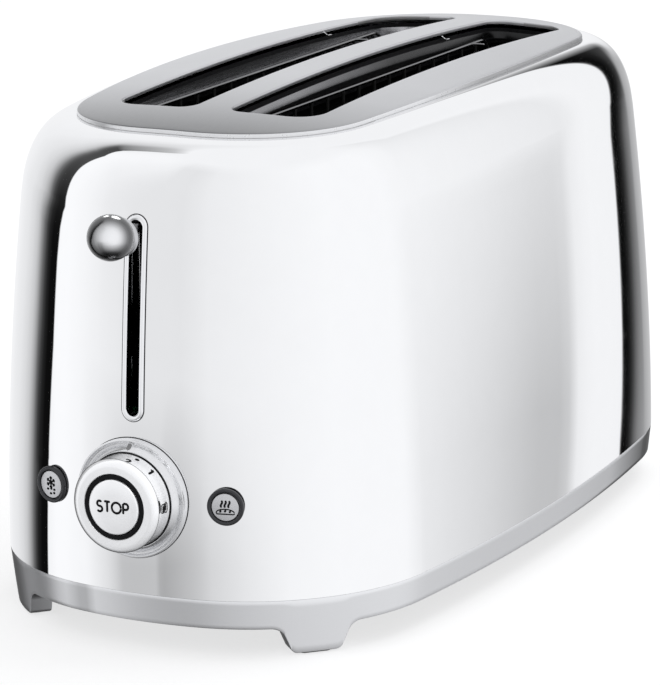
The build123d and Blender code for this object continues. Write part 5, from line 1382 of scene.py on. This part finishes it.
class TOASTER_OT_chamber(bpy.types.Operator):
    """Slot liners, bread guides of bent wire and the return spring"""

    bl_idname = "toaster.chamber"
    bl_label = "Chamber"

    def execute(self, context):
        self.liners()
        for hand, mirror in (("right", 1), ("left", -1)):
            self.guide(hand, "inner", 11.0 * mirror, mirror, 108.0)
            self.guide(hand, "outer", 44.4 * mirror, -mirror, 99.0)
        self.spring()
        return {"FINISHED"}

    def liners(self):
        """Collar under each slot, black as painted shade, with a tilted strip round its lower half in lighter tones of
        painted light and shade, and two wire clips.
        """
        counts = (26, 70, 26, 70)
        clips = []
        for mirror, hand, low, lean, clip_x, clip_back in (
            (1, "right", 207.0, 1.5, SLOT_INNER_X, 8.0),
            (-1, "left", 205.0, 0.9, -SLOT_OUTER_X, 18.0),
        ):
            rows = []
            for grow, level in (
                (0.6, COLLAR_TOP), (0.6, 210.0), (-0.05 * lean, STRIP_TOP), (-lean, low), (-lean, low - 0.4),
                (0.6, low - 0.5), (0.6, 200.0), (1.4, 199.8), (1.4, COLLAR_TOP), (0.6, COLLAR_TOP),
            ):
                x, y = slot_contour(grow, counts).T
                rows.append(np.stack([x * mirror, y, level - crown_fall(x, y) * (level > 204)], -1))

            def tilted(middles, low=low, mirror=mirror):
                """Faces of the tilted strip: between its two levels, and inside the collar."""
                level = middles[:, 2] + crown_fall(middles[:, 0], middles[:, 1])
                x, y = middles[:, 0] * mirror, middles[:, 1]
                inside = (x > SLOT_INNER_X - 0.4) & (x < SLOT_OUTER_X + 0.4)
                inside &= (y > SLOT_FRONT_Y - 0.4) & (y < SLOT_REAR_Y + 0.4)
                return inside & (level > low + 0.1) & (level < STRIP_TOP)

            # Each slot's strip gets its own tone of the same sheet: painted light and shade
            nodes, others = [f"slot_liner_{hand}"], [(f"liner_strip_{hand}", tilted)]
            patches = [patch(np.stack(rows), closed=True)]
            make_piece(f"slot_frame_{hand}", patches, "shade_black_liner", "body", nodes, others=others)
            hook = np.array([(0.2, 92.0, 211.2), (0.9, 92.6, 210.2), (1.3, 94.0, 209.4), (1.4, 97.0, 209.2)])
            clips.append(wire(evenly(hook + (clip_x, -clip_back, 0), 25), (1, 0, 0), 0.35))
        make_piece("liner_clips", clips, "bright_plating", "body")

    def guide(self, hand, place, x, inward, fold):
        """Wire grid: a bent outer loop with upright and level wires inside it, a hook on it and two pivots."""
        front, rear, low, high = GUIDE_SPAN
        corners = np.array([(front, low), (front, high), (rear, high), (rear, low)])
        radii = (2.0, 9.0, 9.0, 2.0)
        bends = [rounded_corner(corners[i], corners[i - 1], corners[i - 3], radii[i], 9) for i in range(4)]
        loop = evenly(np.concatenate(bends + [bends[0][:1]]), 220)[:-1]
        tangent = unit(np.roll(loop, -1, 0) - np.roll(loop, 1, 0))
        path, along = (np.insert(flat, 0, start, axis=1) for flat, start in ((loop, x), (tangent, 0.0)))
        across = np.broadcast_to(np.array([1.0, 0, 0]), path.shape)
        patches = [sweep(path, (across, np.cross(along, across)), 8, GUIDE_LOOP, closed=True)]
        bow = np.radians(np.linspace(0, 90, 15))
        hook = np.stack([x + inward * 3 * (1 - np.cos(bow)), fold + 3 * np.sin(bow), np.full(15, high)], -1)
        tail = straight((x, fold - 12, high), (x, fold, high), counts=5)[:-1]
        end = straight((x + inward * 3, fold + 3, high), (x + inward * 6, fold + 3, high), counts=5)[1:]
        patches.append(wire(np.concatenate([tail, hook, end]), (0, 0, 1), GUIDE_HOOK))
        bars = [((y, low), (y, high), GUIDE_BAR, 8) for y in np.linspace(front, rear, 17)[1:-1]]
        bars += [((front, z), (rear, z), GUIDE_BAR, 8) for z in (96.0, 149.0)]
        pivots = ((-129.4, front), (rear, 148.2))
        bars += [((start, PIVOT_Z), (stop, PIVOT_Z), GUIDE_PIVOT, 12) for start, stop in pivots]
        for start, stop, radius, sides in bars:
            patches.append(wire([(x, *start), (x, *stop)], (1, 0, 0), radius, sides))
        # The wire is near black as painted shade in the slot, and its top part gets a lighter tone as painted light
        name, others = f"bread_guide_{hand}_{place}", [("guide_rail", lambda middles: middles[:, 2] > 202.4)]
        make_piece(f"wire_guide_{hand}_{place}", patches, "shade_dark_wire", name, [name], others=others)

    def spring(self):
        """Helix drawn in to a point at both ends, stretched between the fixed bracket and the carriage."""
        low, high = SPRING_SPAN
        share = np.linspace(0, 1, SPRING_TURNS * 16 + 1)
        angle = 2 * np.pi * SPRING_TURNS * share
        ring = SPRING_RADIUS * np.minimum(1, np.minimum(share, 1 - share) * 30)
        flat = circle(angle) * ring[:, None] + SPRING_MIDDLE
        path = np.insert(flat, 2, low + 0.4 + (high - low - 0.8) * share, axis=1)
        tangent = unit(np.gradient(path, axis=0))
        outward = np.insert(circle(angle), 2, 0.0, axis=1)
        outward = unit(outward - tangent * np.sum(outward * tangent, 1, keepdims=True))
        widths = np.full(len(path), SPRING_WIRE)
        widths[[0, -1]] = 0.0
        patches = [sweep(path, (outward, np.cross(tangent, outward)), 6, widths)]
        coil = make_piece("return_coil", patches, "spring_wire", None, ["return_spring"])
        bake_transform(coil)


# Nodes of the CAD that keep their shape, by finish
NODE_FINISHES = {
    "black_enamel": ("chassis_front",),
    # The finishes of the plating, divider, reflectors, racks, heating boards and ribbons are near black as painted
    # shade in the slots
    "shade_dark_plating": ("chassis_rear", "rod_bracket", "tray_rails"),
    "shade_dark_divider": ("centre_divider",),
    "galvanised_base": ("bottom_plate",),
    "shade_dark_reflector": ("side_reflector_left", "side_reflector_right"),
    "drawn_rods": ("guide_rods",),
    "plated_rack": ("bread_rack_left", "bread_rack_right", "carriage"),
    "ground_iron": ("magnet_core", "keeper_plate"),
    "coil_winding": ("magnet_coil",),
    "board_lacquer": ("control_board",),
    "dark_phenolic": ("dial_sensor", "cord_gland", "button_switches"),
    "pale_ceramic": ("board_posts", "terminal_block"),
    "drawn_tray": ("crumb_tray",),
    "zinc_screws": ("chassis_screws", "plinth_screws"),
    "black_rubber": [f"foot_pad_{end}_{hand}" for end in ("front", "rear") for hand in ("left", "right")],
    "shade_dark_mica": [f"heating_board_{hand}_{row}" for hand in ("left", "right") for row in ("inner", "outer")],
    "heating_ribbon": [f"heating_ribbon_{hand}_{row}" for hand in ("left", "right") for row in ("inner", "outer")],
}


class TOASTER_OT_inner_finishes(bpy.types.Operator):
    """Finishes of the inner and lower parts"""

    bl_idname = "toaster.inner_finishes"
    bl_label = "Inner finishes"

    def execute(self, context):
        for name, nodes in NODE_FINISHES.items():
            material = make_material(name)
            for node in nodes:
                part = frame["nodes"][node]
                if not part.material_slots:
                    part.data.materials.append(material)
                for entry in part.material_slots:
                    entry.material = material
        return {"FINISHED"}


# Studio

WHITE = (1.0, 1.0, 1.0, 1.0)
# The camera's right, up and back directions, its place in metres and its lens in millimetres
CAMERA_AXES = ((0.89086, 0.45408, -0.01341), (-0.09726, 0.21948, 0.97076), (0.44374, -0.86351, 0.23969))
CAMERA_PLACE = (0.749495, -1.465915, 0.493744)
CAMERA_LENS = 200.72
# Lamps in metres and watts: the soft lamp's place, target and width, and for each glint its direction from the
# target, its radius and its power
SOFT_LAMP = (np.array([0.5, 0.7, 1.9]), np.array([0.0, 0.0, 0.1]), 1.6)
LEFT_GLINT = ((-0.515, 0.634, 0.577), 0.022, 0.06)
TOP_GLINT = ((-0.14, 0.724, 0.675), 0.045, 0.22)
DIAL_GLINT = ((0.514, -0.477, 0.718), 0.1, 0.25)
FLOOR_GLOW = 1.22
FLOOR_GLOW_SHARE = 0.55
# Tones round the compass, in degrees: of the pale room, of the grey card low on the right, and of the dim
# wall low behind the viewer
ROOM = (
    (-180, 0.87), (-172, 0.83), (-163, 0.80), (-150, 0.81), (-142, 0.90), (-132, 0.95), (-120, 0.99), (-112, 0.99),
    (-98, 0.86), (-75, 0.88), (-50, 0.90), (-36, 0.92), (12, 0.92), (19, 0.93), (22, 0.84), (30, 0.88), (42, 0.94),
    (60, 0.97), (105, 0.97), (130, 0.94), (160, 0.90), (180, 0.87),
)
LOW_CARD = ((22.2, 1.0), (22.6, 0.64), (27, 0.64), (33, 0.78), (42, 0.93), (55, 1.0))
LOW_WALL = (
    (-180, 0.79), (-174, 0.72), (-168, 0.64), (-162, 0.55), (-159.0, 0.5), (-158.6, 0.68), (-150, 0.66), (-146, 0.64),
    (-141, 0.84), (-133, 1.0), (135, 1.0), (157, 0.92), (180, 0.79),
)
# Tones across the two dark flags, the share of the right flag along the compass, and the tones below the level
LEFT_FLAG = (
    (0.0, 1.0), (0.028, 1.0), (0.042, 0.004), (0.13, 0.005), (0.19, 0.018), (0.235, 0.055), (0.283, 0.16),
    (0.333, 0.36), (0.38, 0.54), (0.433, 0.69), (0.53, 0.82), (0.68, 0.92), (1.0, 1.0),
)
RIGHT_FLAG = (
    (0.0, 0.57), (0.12, 0.55), (0.25, 0.5), (0.32, 0.46), (0.37, 0.43), (0.4, 0.34), (0.427, 0.24), (0.444, 0.13),
    (0.455, 0.055), (0.468, 0.016), (0.482, 0.004), (0.4995, 0.004), (0.503, 1.0), (1.0, 1.0),
)
RIGHT_REACH = ((0.0, 0.0), (0.23, 0.05), (0.41, 0.3), (0.57, 0.6), (0.82, 0.86), (1.0, 1.0))
BELOW = ((0.0, 0.05), (0.24, 0.08), (0.34, 0.2), (0.42, 0.42), (0.55, 0.6), (0.69, 0.78), (0.79, 1.0), (1.0, 1.0))


def studio_world(level):
    """World: even light for matt surfaces, white behind, and cards of white, grey and black for gloss.

    The cards are rules of the compass bearing and the height of a direction, in degrees: a pale room,
    a dark flag to the left with one hard edge, a dark flag with a round corner to the far right, a
    grey card beside each, and tones that darken from the level to straight below."""
    world = bpy.data.worlds.new("studio")
    bpy.context.scene.world = world
    world.use_nodes = True
    world.cycles.sampling_method = "NONE"
    tree = world.node_tree
    tree.nodes.clear()

    def add(first, second):
        return calc(tree, "ADD", first, second)

    def less(first, second):
        return calc(tree, "SUBTRACT", first, second)

    def times(first, second):
        return calc(tree, "MULTIPLY", first, second)

    def reached(value, offset, size):
        """Distance past an offset as a share of a size, never below zero."""
        return calc(tree, "MAXIMUM", calc(tree, "DIVIDE", add(value, offset), size), 0.0)

    def at_height(*ends):
        return spread(tree, height, *ends)

    def around(stops):
        stops = [((degrees + 180) / 360, tone) for degrees, tone in stops]
        return ramp(tree, spread(tree, bearing, -180, 180, 0, 1), stops)

    def tinted(cards, other, share=None):
        """Cards times another colour, or times as much of it as the share says."""
        other = other if share is None else blend_colours(tree, share, WHITE, other)
        return blend_colours(tree, 1.0, cards, other, "MULTIPLY")

    place = add_node(tree, "ShaderNodeTexCoord").outputs["Generated"]
    split = add_node(tree, "ShaderNodeSeparateXYZ", place).outputs
    bearing = times(calc(tree, "ARCTAN2", split[0], split[1]), 180 / math.pi)
    height = times(calc(tree, "ARCSINE", split[2]), 180 / math.pi)
    cards = blend_colours(tree, at_height(50, 64, 0, 1), around(ROOM), (0.93, 0.93, 0.93, 1.0))
    cards = tinted(cards, around(LOW_CARD), at_height(-13, -3, 1, 0))
    cards = tinted(cards, around(LOW_WALL), at_height(-15.5, -6.5, 1, 0))

    edge = add(add(at_height(-17, -8, -103.6, -108.8), at_height(-5, 0, 0, -4.4)), at_height(46, 60, 0, 12))
    inside = times(less(bearing, edge), at_height(40, 55, 1, 0.66))
    left = ramp(tree, spread(tree, inside, -2, 58, 0, 1), LEFT_FLAG)
    cards = tinted(cards, left, times(at_height(56, 68, 1, 0), at_height(-5, 35, 1, 0.93)))

    across, up = reached(bearing, 9.0, 22.6), reached(height, 5.0, 26.5)
    squared = times(up, up)
    total = add(times(across, across), add(squared, 0.0001))
    narrow = less(1.0, times(calc(tree, "DIVIDE", squared, total), 0.6))
    away = less(1.0, times(less(1.0, calc(tree, "SQRT", total)), narrow))
    right = ramp(tree, times(away, 0.5), RIGHT_FLAG)
    later = less(at_height(-4, 4, 0, 8), at_height(8, 13, 0, 8))
    cards = tinted(cards, right, ramp(tree, spread(tree, less(bearing, later), -30, -8, 0, 1), RIGHT_REACH))
    cards = tinted(tinted(cards, ramp(tree, at_height(-90, 0, 0, 1), BELOW)), (1.0, 1.005, 1.02, 1))

    light = add_node(tree, "ShaderNodeLightPath").outputs
    sheen, plain, even = (
        add_node(tree, "ShaderNodeBackground", colour, strength).outputs[0]
        for colour, strength in ((cards, 1.0), (WHITE, 1.0), (WHITE, level))
    )
    reflected = calc(tree, "MAXIMUM", light["Is Glossy Ray"], light["Is Transmission Ray"])
    unseen = add_node(tree, "ShaderNodeMixShader", reflected, even, sheen).outputs[0]
    whole = add_node(tree, "ShaderNodeMixShader", light["Is Camera Ray"], unseen, plain).outputs[0]
    add_node(tree, "ShaderNodeOutputWorld", whole)


def place_object(data, matrix):
    """Object for a lamp or a camera, put in place and into the scene."""
    holder = bpy.data.objects.new(data.name, data)
    holder.matrix_world = matrix
    bpy.context.scene.collection.objects.link(holder)
    return holder


def round_lamp(name, place, target, width, power):
    """Round lamp at a place, aimed at a target, with its X level."""
    lamp = bpy.data.lights.new(name, "AREA")
    lamp.shape, lamp.size, lamp.energy = "DISK", width, power
    back = unit(place - target)
    right = unit(np.cross([0, 0, 1], back))
    turn = np.stack([right, np.cross(back, right), back], 1)
    return place_object(lamp, Matrix.Translation(place) @ Matrix(turn.tolist()).to_4x4())


def glint(name, target, receivers, aim, radius, power):
    """Small round lamp 0.25 m from a target, along a direction, that lights only its receivers."""
    holder = round_lamp(name, target + 0.25 * np.array(aim), target, 2 * radius, power)
    lit = bpy.data.collections.new(f"{name}_receivers")
    for piece in receivers:
        lit.objects.link(piece)
    holder.light_linking.receiver_collection = lit


class TOASTER_OT_studio(bpy.types.Operator):
    """Pale floor, soft light and the camera"""

    bl_idname = "toaster.studio"
    bl_label = "Studio"

    def execute(self, context):
        studio, objects = context.scene.toaster_studio, context.scene.objects
        studio_world(studio.room_level)
        self.floor(studio)
        lamp = round_lamp("soft_lamp", *SOFT_LAMP, studio.lamp_power)
        lamp.visible_glossy = False
        self.camera(context)
        if "ball_grip" in objects:
            low, high = (np.array(corner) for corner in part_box("lever_ball"))
            radius = 0.5 * (high[0] - low[0])
            middle = np.array([0.5 * (low[0] + high[0]), low[1] + radius, 0.5 * (low[2] + high[2])])
            metal = [objects[name] for name in ("dial_front_ring", "dial_cup", "stop_cap") if name in objects]
            glint("left_glint", middle, [objects["ball_grip"]], *LEFT_GLINT)
            glint("top_glint", middle, [objects["ball_grip"]], *TOP_GLINT)
            glint("dial_glint", np.array([0.0, low[1], 0.001 * DIAL_Z]), metal, *DIAL_GLINT)
        return {"FINISHED"}

    def floor(self, studio):
        """Level square of even faces; the camera sees it near white, with the object's shadow."""
        line = np.linspace(-studio.floor_half, studio.floor_half, 9)
        x, y = np.meshgrid(line, line)
        points, quads = patch(np.stack([x, y, 0 * x], -1))
        mesh = bpy.data.meshes.new("floor")
        mesh.from_pydata(points.tolist(), [], quads.tolist())
        material = bpy.data.materials.new("pale_floor")
        material.use_nodes = True
        tree = material.node_tree
        shader = tree.nodes["Principled BSDF"]
        place = add_node(tree, "ShaderNodeTexCoord").outputs["Object"]
        noise = add_node(tree, "ShaderNodeTexNoise", place, None, 3.0).outputs[0]
        colour = np.array(studio.floor_colour)
        toned = blend_colours(tree, noise, (*colour, 1.0), (*(colour * 0.995), 1.0))
        tree.links.new(toned, shader.inputs["Base Color"])
        shader.inputs["Roughness"].default_value = 0.9
        shader.inputs["Specular IOR Level"].default_value = 0.0
        seen = add_node(tree, "ShaderNodeEmission", WHITE, FLOOR_GLOW)
        viewed = add_node(tree, "ShaderNodeLightPath").outputs["Is Camera Ray"]
        share = calc(tree, "MULTIPLY", viewed, FLOOR_GLOW_SHARE)
        both = add_node(tree, "ShaderNodeMixShader", share, shader.outputs[0], seen.outputs[0])
        tree.links.new(both.outputs[0], tree.nodes["Material Output"].inputs[0])
        mesh.materials.append(material)
        plane = bpy.data.objects.new("floor", mesh)
        plane.visible_glossy = False
        bpy.context.scene.collection.objects.link(plane)

    def camera(self, context):
        """Camera at the photograph's angle, with a plain view of its colours."""
        data = bpy.data.cameras.new("camera")
        data.sensor_width = 36.0
        data.lens = CAMERA_LENS
        data.clip_end = 30.0
        turn = Matrix(CAMERA_AXES).transposed().to_4x4()
        context.scene.camera = place_object(data, Matrix.Translation(CAMERA_PLACE) @ turn)
        context.scene.view_settings.view_transform = "Standard"


class TOASTER_PT_panel(bpy.types.Panel):
    """Lists the pieces and their settings"""

    bl_idname = "TOASTER_PT_panel"
    bl_label = "Toaster"
    bl_space_type = "VIEW_3D"
    bl_region_type = "UI"
    bl_category = "Toaster"

    def draw(self, context):
        for operator in OPERATORS:
            self.layout.operator(operator.bl_idname)
        for label in GROUPS:
            box = self.layout.box()
            group = getattr(context.scene, label)
            for name in group.__annotations__:
                box.prop(group, name)


OPERATORS = (
    TOASTER_OT_body_shell,
    TOASTER_OT_top_plate,
    TOASTER_OT_plinth,
    TOASTER_OT_lever,
    TOASTER_OT_dial,
    TOASTER_OT_buttons,
    TOASTER_OT_chamber,
    TOASTER_OT_inner_finishes,
    TOASTER_OT_studio,
)
GROUPS = {"toaster_sizes": ToasterSizes, "toaster_finishes": ToasterFinishes, "toaster_studio": ToasterStudio}


def register():
    for kind in (*GROUPS.values(), *OPERATORS, TOASTER_PT_panel):
        bpy.utils.register_class(kind)
    for label, group in GROUPS.items():
        setattr(bpy.types.Scene, label, PointerProperty(type=group))


def unregister():
    for label in GROUPS:
        delattr(bpy.types.Scene, label)
    for kind in reversed((*GROUPS.values(), *OPERATORS, TOASTER_PT_panel)):
        bpy.utils.unregister_class(kind)


def main():
    register()
    for operator in OPERATORS:
        family, name = operator.bl_idname.split(".")
        getattr(getattr(bpy.ops, family), name)()


if __name__ == "__main__":
    main()
